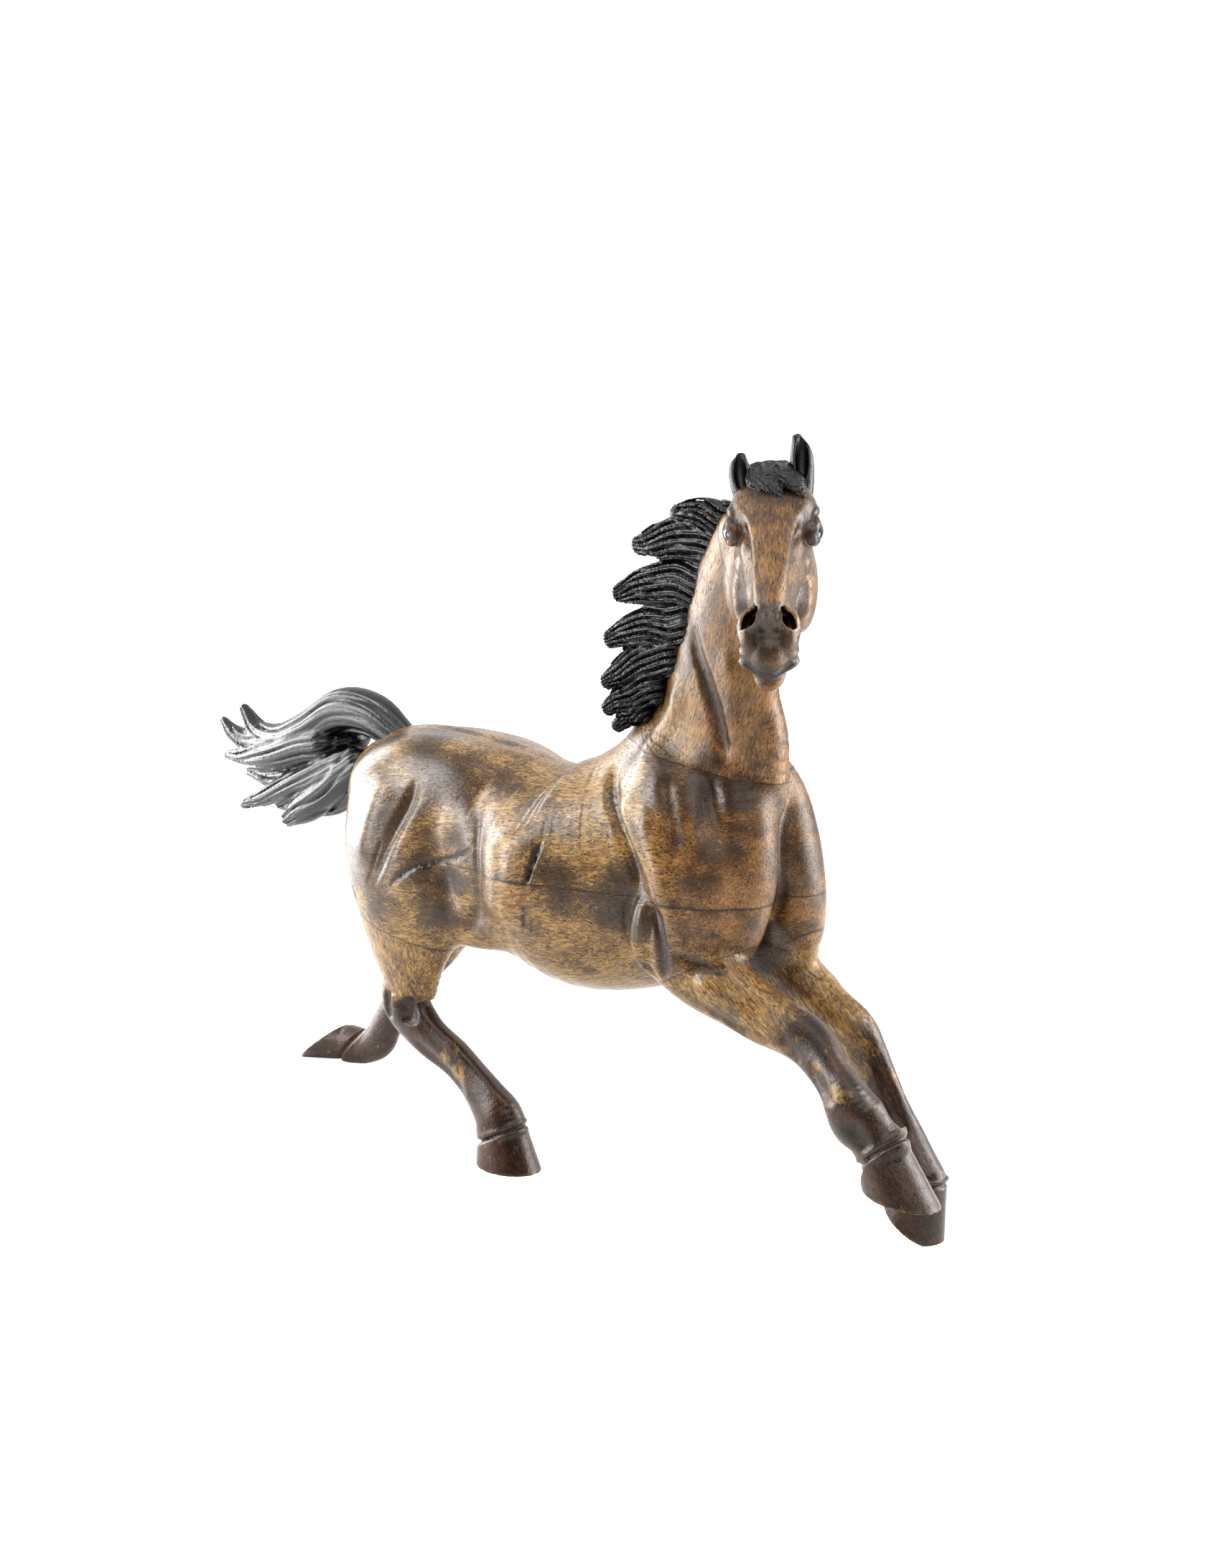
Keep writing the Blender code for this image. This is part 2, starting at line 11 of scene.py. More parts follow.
import bmesh
import bpy
import numpy as np
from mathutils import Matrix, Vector


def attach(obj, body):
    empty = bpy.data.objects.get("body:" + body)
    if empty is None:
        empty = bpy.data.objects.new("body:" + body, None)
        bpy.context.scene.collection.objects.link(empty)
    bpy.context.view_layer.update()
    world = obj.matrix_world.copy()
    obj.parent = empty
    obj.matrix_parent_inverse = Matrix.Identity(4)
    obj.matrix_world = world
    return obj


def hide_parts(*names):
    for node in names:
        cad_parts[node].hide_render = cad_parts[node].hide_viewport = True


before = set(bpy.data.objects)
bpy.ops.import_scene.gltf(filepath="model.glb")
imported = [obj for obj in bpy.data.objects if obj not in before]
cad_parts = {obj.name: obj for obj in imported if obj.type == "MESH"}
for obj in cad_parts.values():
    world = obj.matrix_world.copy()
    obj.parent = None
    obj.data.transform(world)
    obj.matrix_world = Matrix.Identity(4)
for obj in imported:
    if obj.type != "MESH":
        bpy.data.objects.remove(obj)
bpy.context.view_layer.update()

MM = 0.001
FORWARD_SHIFT, LEFT_SHIFT = -22.45, -20.55  # the frame's origin is under the middle of the whole statuette
GLUE_LINE = 0.14
FAR = 60.0
SHARP_ANGLE = 50
COARSE = 1.0

HEAD_YAW, HEAD_PITCH, HEAD_ROLL = -53.4, 33.1, 0.9
HEAD_SIZE = 0.978
POLL = np.array((143.6, -18.8, 382.1))

# Limbs: rows of forward, left, up, half the width across, half the depth.
TRUNK = [
    (-140, -2, 188, 30, 36), (-122, -2, 190, 39, 42), (-94, -2, 188, 45, 45), (-58, -2, 181, 45, 49),
    (-22, -2, 170, 50, 54), (8, -2, 164, 52, 61), (38, 1, 170, 48, 63), (66, 4, 178, 44, 59),
    (92, 7, 182, 42, 52), (105, 9, 182, 32, 42), (113, 9, 182, 17, 27),
]
NECK = [
    (64, 3, 204, 30, 46), (87, 3, 228, 27.5, 49), (98.5, 0, 252, 21.5, 41), (104.5, -6, 277, 17.5, 33),
    (112, -10, 302, 15.5, 28.5), (122, -13.5, 328, 15.5, 27), (131, -15.5, 350, 15, 23),
]
HIND_RIGHT = [
    (-112, -26, 206, 22, 38), (-104, -32, 180, 24, 44), (-98, -36, 152, 21.5, 43), (-96, -37, 126, 17, 36),
    (-95, -38, 108, 13.5, 28), (-94.5, -38.5, 94, 11.5, 20), (-97, -39, 80, 10.5, 16.5),
    (-82, -37, 64, 9, 12.5), (-63, -35, 54, 8.5, 11), (-49, -34, 44, 8.5, 11), (-38, -34, 35, 9.5, 13),
    (-30, -34, 27, 11.5, 15.5), (-27, -34, 20, 12, 16.5),
]
HIND_LEFT = [
    (-114, 22, 206, 22, 38), (-112, 30, 180, 23, 42), (-114, 34, 152, 19, 36), (-124, 37, 126, 15, 25),
    (-140, 39, 104, 11, 16), (-156, 40, 87, 9.5, 15), (-170, 38, 70, 8.5, 12), (-184, 37, 52, 7.8, 10.5),
    (-195, 36, 34, 7.8, 10.5), (-204, 36, 20, 9, 11.5), (-216, 35.5, 13, 9.5, 11), (-228, 34, 12, 11, 12),
]
FORE_RIGHT = [
    (88, -26, 146, 15, 24), (106, -25, 133, 15, 20), (128, -25, 124, 13.5, 16.5), (150, -26, 117, 12, 14),
    (171, -27, 112, 11, 13), (184, -30, 106, 9, 12), (197, -35, 97, 7.8, 10.5), (206, -38, 89.5, 8.8, 12.5),
    (212, -37, 81.5, 9.8, 14.5), (219, -35, 75, 9.8, 13.2), (225, -33, 68, 10.8, 14.8),
]
FORE_LEFT = [
    (92, 34, 146, 14, 24), (104, 35, 130, 14, 20), (122, 36, 117, 13.5, 16.5), (140, 36, 107, 12, 14),
    (157, 36, 98, 11, 13), (165, 36.5, 88, 9, 12), (174, 37, 74, 7.8, 10.5), (182, 37, 60, 7.8, 10.5),
    (188, 37, 49, 9, 12), (195, 35.5, 38, 10, 13.5), (201, 34, 29, 11.5, 15),
]

# Muscles: centre, half length, half width across, half depth, the way the length runs, blend.
MUSCLES = [
    ((-78, -24, 206), (44, 20, 24), (1, 0, -0.03), 9),
    ((-74, 20, 206), (46, 20, 22), (1, 0, -0.05), 9),
    ((88, -24, 202), (42, 17, 24), (0.55, -0.12, -0.8), 10),
    ((92, 36, 202), (42, 17, 24), (0.55, 0.12, -0.8), 10),
    ((100, -27, 164), (36, 15, 24), (-0.25, 0, -1), 8),
    ((98, 38, 164), (36, 15, 24), (-0.2, 0, -1), 8),
    ((-54, -33, 137), (32, 12, 17), (1, 0, -0.15), 14),
    ((-58, 33, 146), (30, 14, 17), (1, 0, -0.15), 8),
    ((80, -34.5, 152), (22, 10, 10), (-0.12, 0, -1), 1.5),
    ((84, 42, 152), (20, 8.5, 9), (-0.12, 0, -1), 1.5),
]

# The two breast muscles: rows as for limbs.
BREAST_RIGHT = [
    (112, -5, 234, 10, 10), (119, -8, 214, 15, 16), (120, -9, 186, 17, 18), (118, -11, 166, 17, 17.5),
    (116, -15, 150, 15, 16), (115, -18, 144, 12, 13),
]
BREAST_LEFT = [
    (108, 23, 234, 10, 10), (114.5, 26, 214, 15, 16), (120, 27, 186, 17.5, 18), (122, 29, 166, 17.5, 18),
    (122, 32, 148, 15, 16), (121, 33, 140, 12, 14),
]

# Hooves: middle of the sole, middle of the coronet, the way the toe points, the way the sole's
# upper side faces, half length, half width, the coronet's size over the sole's, its rise to the front.
HOOVES = [
    ((-22, -34, 0), (-26, -34, 19), (1, 0.05, 0), (0, 0, 1), 20, 15, 0.8, 0.5),
    ((235, -32, 47), (224, -32, 68), (1, 0, -0.1), (0.1, 0, 1), 20.5, 14.5, 0.80, 1.0),
    ((200, 32, 6.5), (203, 34, 30), (0.87, 0, -0.5), (0.5, 0, 0.87), 18.5, 14, 0.8, 0.6),
    ((-249, 29, 11), (-226, 35, 11), (-0.76, -0.2, -0.62), (0.62, 0.1, -0.78), 20, 14, 0.8, 0.2),
]

GROOVE_BELOW, RIM_ABOVE = 0.6, 1.6  # where the groove and the rim of a coronet are

# The head in its own frame: rows as above, then muscles as above.
SKULL = [
    (-2, 0, -22, 12, 13), (14, 0, -20, 18.5, 20), (34, 0, -19, 18, 19), (58, 0, -17, 13, 16),
    (86, 0, -15, 10, 13), (104, 0, -15.5, 10, 12.5), (113, 0, -19, 10, 11.5),
]
JAW = [
    (12, 0, -38, 12, 18), (34, 0, -42, 13, 20), (56, 0, -38, 11, 15), (80, 0, -31, 8.5, 11),
    (102, 0, -29, 8.5, 9), (110, 0, -31, 8, 7),
]
HEAD_PAIRS = [
    ((33, 13, -43), (27, 8.5, 21), (1, 0, 0.05), 5),  # jowl
    ((20, 14, -8), (13, 7, 8), (1, 0.1, -0.1), 8),  # brow
    ((58, 12.5, -20), (22, 3.2, 4), (1, -0.22, 0.08), 3),  # cheek ridge
    ((108, 8.8, -11), (10, 5.4, 8), (1, 0, -0.35), 3),  # nostril
    ((113, 7, -21), (7, 7.6, 6.5), (1, 0, -0.3), 3),  # upper lip
]
NOSE_BRIDGE = [
    (6, 0, -4, 12, 4.5), (28, 0, -2.6, 13, 4.5), (52, 0, -2, 9.8, 4), (76, 0, -3, 8.5, 4), (98, 0, -5, 6, 4),
]
UPPER_LIP = ((119, 0, -22), (5, 7, 8), (1, 0, -0.2), 3)
CHIN = ((112, 0, -34), (8, 7, 4.6), (1, 0, -0.2), 1.5)
EYE = ((32, 17.3, -11), (8, 6.8, 6), (1, 0.05, -0.12), 0.6)

EAR_RIGHT = [(7, -14, -7, 6, 5), (3, -15.5, -3, 6, 4.4), (-1.5, -16.5, 2, 5.4, 3.6), (-5, -16, 6, 2.6, 2)]
EAR_LEFT = [(7, 13, -7, 6, 5), (1, 13.5, -0.5, 6, 4.4), (-6, 13, 7, 5.4, 3.6), (-11, 11, 12.5, 2.6, 2)]
EAR_HOLLOW_RIGHT = ((2, -16.3, 2.5), (10, 3.0, 3.2), (-0.75, -0.1, 0.75))
EAR_HOLLOW_LEFT = ((-2, 13.5, 6.5), (13, 3.2, 3.2), (-0.75, 0, 0.85))
FORELOCK_LOCKS = [
    [(-4, -8, -1, 5, 4), (4, -9, 1, 5, 3.5), (11, -9, 1.5, 4, 3), (17, -7, 0.5, 2, 1.8)],
    [(-4, -2, 0, 5.5, 4), (6, -3, 2.5, 6, 4.2), (14, -1, 2.8, 5.5, 3.8), (22, 4, 1, 2, 1.8)],
    [(-4, 4, 0, 5, 4), (5, 5, 3, 5.5, 4.4), (13, 9, 4, 5.5, 3.8), (21, 14, 1.5, 2, 1.8)],
    [(-2, 9, -2, 4, 3), (5, 11, 0, 4, 3), (11, 14, -1, 2, 1.8)],
]

# Locks of hair, each from its root to its tip.
MANE_LOCKS = [
    [(122, -18, 356, 7, 11), (109, -19, 359, 7, 10), (96, -20, 361, 6, 8), (85, -21, 361, 3.5, 4.5)],
    [(110, -17, 346, 7.5, 14), (94, -18, 349, 7, 13), (75, -20, 347, 6, 10), (60, -21, 344, 3.5, 5)],
    [(99, -16, 326, 7.5, 14), (82, -17, 326, 7, 13), (62, -19, 323, 6, 10), (47, -21, 319, 3.5, 5)],
    [(88, -15, 306, 7.5, 13), (72, -16, 304, 7, 12), (54, -18, 300, 6, 9.5), (40, -20, 295, 3.5, 5)],
    [(78, -14, 290, 7, 12), (64, -15, 287, 7, 11.5), (49, -18, 280, 6, 8.5), (38, -20, 273, 3.5, 4.5)],
    [(66, -13, 273, 7, 11), (55, -14, 270, 6.5, 10), (45, -16, 264, 5.5, 7.5), (37, -18, 259, 3.5, 4.5)],
    [(56, -12, 261, 6, 9), (48, -13, 256, 5.5, 7), (41, -14, 250, 4, 4)],
]
TAIL_LOCKS = [
    [(-136, -2, 222, 9, 10), (-158, -3, 233, 12, 13), (-184, -4, 234, 14, 14), (-210, -6, 222, 14, 12),
     (-238, -7, 212, 11, 10), (-262, -6, 214, 8, 7), (-277, -5, 226, 3.5, 3.5)],
    [(-236, -8, 210, 9, 8), (-264, -8, 207, 8, 7), (-284, -8, 211, 6, 5), (-295, -7, 217, 3, 3)],
    [(-200, -9, 214, 12, 12), (-232, -11, 205, 11, 10), (-262, -11, 199, 8, 7), (-288, -10, 197, 3, 3)],
    [(-190, -2, 204, 12, 12), (-224, -1, 194, 11, 10), (-254, 0, 185, 8, 7), (-280, 0, 186, 3, 3)],
    [(-180, -8, 202, 11, 12), (-212, -10, 190, 10, 10), (-246, -11, 177, 7.5, 7), (-271, -12, 168, 3, 3)],
    [(-176, -3, 200, 11, 12), (-204, -3, 185, 10, 10), (-230, -4, 173, 7.5, 7), (-245, -5, 170, 3, 3)],
    [(-168, -9, 204, 10, 12), (-188, -11, 190, 10, 11), (-212, -12, 174, 9, 10), (-228, -12, 165, 5.5, 5.5)],
    [(-160, -2, 206, 9, 10), (-176, -2, 192, 9, 10), (-196, -1, 178, 7.5, 8), (-209, 0, 170, 4, 4)],
    [(-160, 4, 208, 9, 10), (-172, 6, 194, 8, 9), (-186, 7, 180, 4.5, 4.5)],
    [(-190, 6, 216, 11, 12), (-222, 8, 206, 10, 10), (-256, 9, 196, 7, 7), (-278, 10, 192, 3, 3)],
]

# Glue joints: a point on each and the way it faces.
TRUNK_JOINT = ((0, 0, 168), (0, 0, 1))
NECK_JOINT = ((36, 0, 246), (0.17, 0, 0.985))
HEAD_JOINT = ((132, -6, 358), (0.703, -0.597, 0.386))
ELBOW_RIGHT = ((100, -24, 131), (0.45, 0, -0.89))
ELBOW_LEFT = ((104, 35, 129), (0.5, 0, -0.87))
GASKIN_RIGHT = ((-92, -37, 122), (-0.2, 0, -1))
GASKIN_LEFT = ((-123, 37, 126), (0, 0, -1))
JOINTS = [TRUNK_JOINT, NECK_JOINT, HEAD_JOINT, ELBOW_RIGHT, ELBOW_LEFT, GASKIN_RIGHT, GASKIN_LEFT]
FLOOR_CUT = ((0, 0, -GLUE_LINE / 2), (0, 0, 1))  # half a glue line low, because a cut is made half above

# The box that each skin is carved in, with the step of its grid. The skin's points are half a step apart.
TRUNK_BOX = ((-175, -66, 88), (165, 76, 262), 1.86)
NECK_BOX = ((24, -58, 208), (175, 52, 402), 1.5)
HEAD_BOX = ((104, -126, 284), (222, 22, 410), 1.04)
LEG_STEP, MANE_STEP, TAIL_STEP, TRIM_STEP = 1.3, 1.06, 1.5, 0.7

# Lower legs: the joint, the box that the skin is carved in, and where the joint cuts the trunk's skin.
LOWER_LEGS = {
    "foreleg_right": (
        ELBOW_RIGHT, (78, -62, 34), (268, 5, 158), lambda f, l, u: f > 60 and l < 0.4 * f - 43.2 and u < 160
    ),
    "foreleg_left": (ELBOW_LEFT, (78, 12, -8), (232, 62, 158), lambda f, l, u: f > 60 and l > 14 and u < 160),
    "hindleg_right": (GASKIN_RIGHT, (-142, -66, -8), (8, -16, 138), lambda f, l, u: f < -42.5 and l < -19),
    "hindleg_left": (GASKIN_LEFT, (-286, 6, -10), (-84, 62, 134), lambda f, l, u: f < -60 and l > 6),
}

# Carved lines: points, width, depth (negative raises a ridge), and how dark they are painted, with stain and
# painted shade.
# Side lines are given for the right side and repeated on the left.
SIDE_LINES = [
    ([(-40, -38, 216), (-34, -47, 201), (-29, -50, 183), (-28, -51, 162), (-36, -47, 140),
      (-46, -38, 126)], 8, 2.4, 0.45),
    ([(-34, -45, 203), (-29, -50, 183), (-28, -51, 162), (-35, -47, 141), (-46, -36, 128)], 2.6, 3.4, 0.8),
    ([(-10, -50, 200), (-5, -53, 168), (-10, -50, 138)], 17, -4.2, 0),
    ([(-78, -40, 214), (-81, -50, 197), (-88, -56, 181), (-97, -57, 163), (-107, -56, 145)], 3.6, 2.0, 0.5),
    ([(-99, -40, 212), (-106, -50, 185), (-116, -52, 158)], 9, -2.2, 0),
    ([(44, -22, 236), (49, -29, 222), (56, -34, 212), (64, -38, 203), (71, -40, 193), (76, -40, 182),
      (78, -39, 170)], 3.4, 6.0, 0.8),
    ([(77, -39, 174), (70, -39, 163), (68, -37, 152), (72, -37, 141), (82, -38, 131),
      (90, -37, 124)], 2.6, 3.8, 0.6),
    ([(88, -42, 174), (92, -42, 160), (95, -42, 148), (95, -41, 136), (95, -39, 128)], 2.4, 4.2, 1.0),
    ([(58, -32, 222), (68, -38, 212), (79, -41, 200), (88, -43, 186), (93, -43, 172),
      (92, -42, 160)], 6.5, -5.0, 0),
    ([(73, -34, 222), (82, -39, 209), (91, -42, 195), (98, -43, 180), (101, -42, 160),
      (102, -41, 142)], 4.5, -2.0, 0),
    ([(65, -34, 219), (75, -40, 206), (84, -42, 194), (91, -44, 181)], 2.6, 2.6, 0.3),
    ([(86, -30, 234), (91, -34, 224), (96, -37, 214), (100, -38, 204), (103, -38, 192)], 4.0, 1.2, 0.4),
    ([(98, -24, 246), (102, -27, 230), (108, -29, 216), (114, -30, 203), (119, -29, 188),
      (122, -27, 172)], 7.5, -2.0, 0),
    ([(112, -14, 242), (116, -17, 224), (121, -19, 207), (126, -20, 192), (129, -20, 172)], 7, -1.0, 0),
    ([(98, -23, 310), (100, -23, 296), (106, -23, 282), (111, -21, 266), (114, -18, 249),
      (115, -15, 236)], 3.6, 4.2, 0.8),
    ([(118, -21, 300), (121, -18, 280), (121, -15, 262), (120, -13, 240)], 6.0, -2.4, 0),
    ([(90, -17, 282), (82, -20, 264), (72, -23, 250), (62, -27, 238)], 6, -2.6, 0),
    ([(100, -38, 146), (110, -38, 141), (122, -36, 139), (132, -32, 140)], 3, 2.2, 0.4),
    ([(112, -40, 134), (130, -37, 126), (150, -36, 120)], 5, -1.8, 0),
    ([(116, -37, 120), (134, -36, 114), (152, -36, 109)], 3, 1.8, 0.3),
]
CHEST_LINES = [
    ([(-128, -2, 226), (-96, -2, 236), (-60, -2, 232), (-30, -2, 226)], 4.0, 1.8, 0.3),
    ([(118, 9, 226), (126, 9, 214), (130, 9, 202), (131, 9, 188), (131, 9, 174), (130, 9, 160),
      (125, 9, 146)], 3.4, 3.0, 0.9),
]
# Drying cracks and knife marks, on the side where each one is.
CRACKS = [
    ([(-92, -57, 150), (-81, -56, 159), (-72, -54, 165), (-60, -52, 168), (-48, -50, 172), (-38, -50, 176),
      (-29, -50, 186)], 1.2, 3.0, 1.0),
    ([(-136, -40, 160), (-130, -46, 148), (-122, -48, 134)], 1.4, 2.4, 0.9),
    ([(19, -52, 194), (16, -53, 182), (14, -54, 174), (12, -54, 166)], 1.1, 2.4, 1.0),
    ([(11, -54, 158), (10, -53, 151), (8, -52, 142)], 1.1, 1.2, 0.7),
    ([(-95, -57, 178), (-102, -57, 163), (-109, -56, 148)], 1.0, 1.2, 0.7),
    ([(20, 54, 188), (16, 54, 170), (15, 54, 156)], 1.2, 2.0, 0.9),
    ([(-88, 54, 190), (-96, 55, 170), (-104, 55, 156)], 1.2, 2.0, 0.9),
]
HOCK_LINES = [
    ([(-101, -49, 90), (-102, -49, 79), (-103, -48, 70)], 2.2, 5.5, 1.0),
    ([(-88, -50, 88), (-86, -49, 79), (-87, -48, 70)], 3.6, 6.0, 1.0),
    ([(-95, -50, 88), (-96, -50, 78)], 2.0, -2.0, 0),
    ([(-81, -47, 82), (-68, -45, 74), (-52, -42, 63), (-38, -40, 52), (-27, -38, 40),
      (-10, -34, 31)], 3.0, -2.6, 0),
    ([(-90, -45, 64), (-74, -43, 56), (-58, -42, 46), (-46, -40, 36)], 4.0, 2.0, 0.2),
    ([(-158, 50, 92), (-160, 50, 84), (-163, 49, 78)], 2.0, 4.0, 1.0),
    ([(-148, 50, 94), (-149, 50, 86), (-151, 49, 78)], 3.0, 4.5, 1.0),
    ([(-160, 28, 86), (-174, 28, 68), (-186, 28, 50)], 2.5, -1.6, 0),
]
FORELEG_LINES = [
    ([(150, -14, 124), (172, -17, 118), (186, -21, 113), (198, -26, 106), (210, -31, 97), (221, -33, 89),
      (232, -33, 83)], 3.0, -2.6, 0),
    ([(184, -38, 104), (196, -42, 95), (206, -45, 88)], 3.0, 2.0, 0.4),
    ([(213, -47, 84), (219, -45, 76), (224, -44, 70)], 3.5, 2.2, 0.5),
    ([(164, -38, 114), (172, -39, 108), (178, -39, 100)], 3.0, 1.6, 0.4),
    ([(120, -41, 118), (140, -38, 108), (158, -38, 104)], 4.0, -1.5, 0),
    ([(173, 29, 92), (182, 30, 76), (190, 30, 62), (198, 31, 48)], 2.6, 1.8, 0.6),
    ([(172, 44, 92), (181, 45, 76), (189, 45, 62)], 2.6, 1.8, 0.6),
]
# Head lines, in the head's frame, given for the left side and repeated on the right.
HEAD_LINES = [
    ([(36, 13, -6), (46, 11.5, -5), (58, 9.7, -4), (71, 8.2, -3.8), (88, 7.7, -5.7)], 1.8, 1.5, 0.7),
    ([(38, 16, -8), (54, 14, -11), (72, 11, -12), (90, 9.5, -11)], 3.0, -1.6, 0),
    ([(44, 18, -17), (58, 15, -22), (74, 12, -23)], 2.6, 1.8, 0.5),
    ([(49, 17, -23), (54, 16, -31), (58, 15, -37), (60, 14, -45)], 3.4, 3.6, 0.9),
    ([(19, 18.5, -8), (25, 21, -5), (33, 22, -4.2), (42, 19.5, -8)], 1.7, -2.6, 0),
    ([(20, 20, -14), (27, 22, -17), (35, 21.5, -17), (43, 19.5, -12.5)], 1.6, -2.0, 0),
    ([(99, 4.5, -5.5), (101, 8.5, -4.5), (106, 12, -6), (112, 13.5, -12)], 1.8, -1.8, 0),
    ([(102, 2.5, -4.5), (108, 2.5, -4.2), (114, 3.5, -7)], 1.8, -1.0, 0),
]
# The mouth runs round both sides. After how dark it is painted, with stain and painted shade, come the share
# of it that fades, and its samples.
MOUTH = (
    [
        (98, -12.5, -22), (108, -14, -21.5), (115.5, -13.5, -20.3), (119.4, -10.3, -20.6),
        (121.7, -6, -23.8), (123.3, 0, -25.2), (121.7, 6, -23.8), (119.4, 10.3, -20.6),
        (115.5, 13.5, -20.3), (108, 14, -21.5), (98, 12.5, -22),
    ],
    1.5, 3.6, 1.3, 0.2, 50,
)
NOSTRIL = ((107, 9.4, -7.5), (6.2, 3.4, 6), (1, 0.2, -0.75), 1.0)
NOSTRIL_TAIL = ((102, 7.6, -4.5), (3.5, 1.6, 3), (1, 0.7, -0.4), 0.8)


def unit(v):
    v = np.asarray(v, float)
    return v / np.maximum(np.linalg.norm(v, axis=-1, keepdims=True), 1e-9)


def head_axes():
    """Columns: down the face, left, and out of the face, in (forward, left, up)."""
    yaw, pitch, roll = np.radians((HEAD_YAW, HEAD_PITCH, HEAD_ROLL))
    face = np.array((math.cos(yaw) * math.cos(pitch), math.sin(yaw) * math.cos(pitch), -math.sin(pitch)))
    left = np.array((-math.sin(yaw), math.cos(yaw), 0))
    out = np.cross(face, left)
    tilted_left = left * math.cos(roll) + out * math.sin(roll)
    tilted_out = out * math.cos(roll) - left * math.sin(roll)
    return np.stack((face, tilted_left, tilted_out), 1)


HEAD_AXES = head_axes()
ACROSS_HEAD = HEAD_AXES[:, 1]


def on_head(rows):
    """Rows in the head's frame, as rows in the body's."""
    rows = np.array(rows, float)
    placed = POLL + rows[:, :3] @ HEAD_AXES.T * HEAD_SIZE
    return np.hstack([placed, rows[:, 3:] * HEAD_SIZE])


def curve(points, samples):
    """Points along a Catmull-Rom curve."""
    p = np.asarray(points, float)
    if len(p) == 2:
        t = np.linspace(0, 1, samples)[:, None]
        return p[0] * (1 - t) + p[1] * t
    q = np.vstack([2 * p[0] - p[1], p, 2 * p[-1] - p[-2]])
    s = np.linspace(0, len(p) - 1 - 1e-9, samples)
    i = s.astype(int)
    t = (s - i)[:, None]
    a, b, c, d = q[i], q[i + 1], q[i + 2], q[i + 3]
    bend = (2 * a - 5 * b + 4 * c - d) * t**2
    return 0.5 * (2 * b + (c - a) * t + bend + (3 * b - a - 3 * c + d) * t**3)


def nearest(points, line):
    """For each point: squared distance to a polyline, and how far along it, in samples."""
    best = np.full(len(points), 1e18)
    where = np.zeros(len(points))
    for i in range(len(line) - 1):
        run = line[i + 1] - line[i]
        q = points - line[i]
        t = np.clip(q @ run / (run @ run), 0, 1)
        q = q - t[:, None] * run
        e = (q * q).sum(1)
        m = e < best
        best[m] = e[m]
        where[m] = i + t[m]
    return best, where


def oval(q, radii):
    """About how far points are outside an ellipsoid."""
    k0 = np.sqrt(((q / radii) ** 2).sum(1))
    k1 = np.sqrt(((q / radii**2) ** 2).sum(1))
    return k0 * (k0 - 1) / np.maximum(k1, 1e-6)


class Tube:
    """A limb along rows of (place, half across, half deep), with elliptical sections.

    strands cuts that many hair grooves along it, spread over its depth."""

    def __init__(self, rows, side=(0, 1, 0), blend=6.0, strands=0, groove=0.0):
        n = max(8, 5 * (len(rows) - 1))
        r = curve(rows, n)
        self.c, self.radii = r[:, :3], np.maximum(r[:, 3:5], 0.3)
        self.t = unit(np.gradient(self.c, axis=0))
        side = np.asarray(side, float)
        self.s = unit(side - self.t * (self.t @ side)[:, None])
        self.n = np.cross(self.t, self.s)
        self.blend, self.strands, self.groove, self.cut = blend, strands, groove, False
        reach = self.radii.max(1)[:, None] + blend
        self.lo, self.hi = (self.c - reach).min(0), (self.c + reach).max(0)

    def distance(self, p):
        _, where = nearest(p, self.c)
        i = np.minimum(where.astype(int), len(self.c) - 2)
        t = (where - i)[:, None]
        q = p - (self.c[i] * (1 - t) + self.c[i + 1] * t)
        axes = [v[i] * (1 - t) + v[i + 1] * t for v in (self.s, self.n, self.t)]
        q = np.stack([(q * v).sum(1) for v in axes], 1)
        a, b = (self.radii[i] * (1 - t) + self.radii[i + 1] * t).T
        c = np.minimum(a, b)
        d = oval(q, np.stack([a, b, c], 1))
        if self.strands:
            along, seed, y = where / len(self.c), self.c[0, 2], q[:, 1]
            sway = 0.10 * np.sin(5 * along + seed) + 0.05 * np.sin(13 * along + 2 * seed)
            phase = (y / b + sway) * self.strands
            wave = np.abs(np.sin(math.pi * phase / 2 + 0.8 * np.sin(6 * along + seed)))
            fine = np.abs(np.sin(math.pi * phase * 1.13 + 1.3 * np.sin(4 * along + 2 * seed)))
            depth = 0.35 + 0.65 * np.abs(np.sin(0.9 * phase + 3 * along + seed))
            groove = depth * (1 - wave) ** 1.5 + 0.35 * (1 - fine) ** 2
            d = d + self.groove * groove * np.clip(c / 5, 0.3, 1)
        return d


class Egg:
    """An ellipsoid: half its length, half its width across, half its depth."""

    def __init__(self, centre, radii, along=(1, 0, 0), blend=6.0, side=(0, 1, 0), cut=False):
        self.c, self.r = np.asarray(centre, float), np.asarray(radii, float)
        x = unit(along)
        side = np.asarray(side, float)
        y = unit(side - x * (side @ x))
        self.axes = np.stack([x, y, np.cross(x, y)], 1)
        self.blend, self.cut = blend, cut
        reach = np.sqrt(((self.axes * self.r) ** 2).sum(1)) + blend
        self.lo, self.hi = self.c - reach, self.c + reach

    def distance(self, p):
        return oval((p - self.c) @ self.axes, self.r)


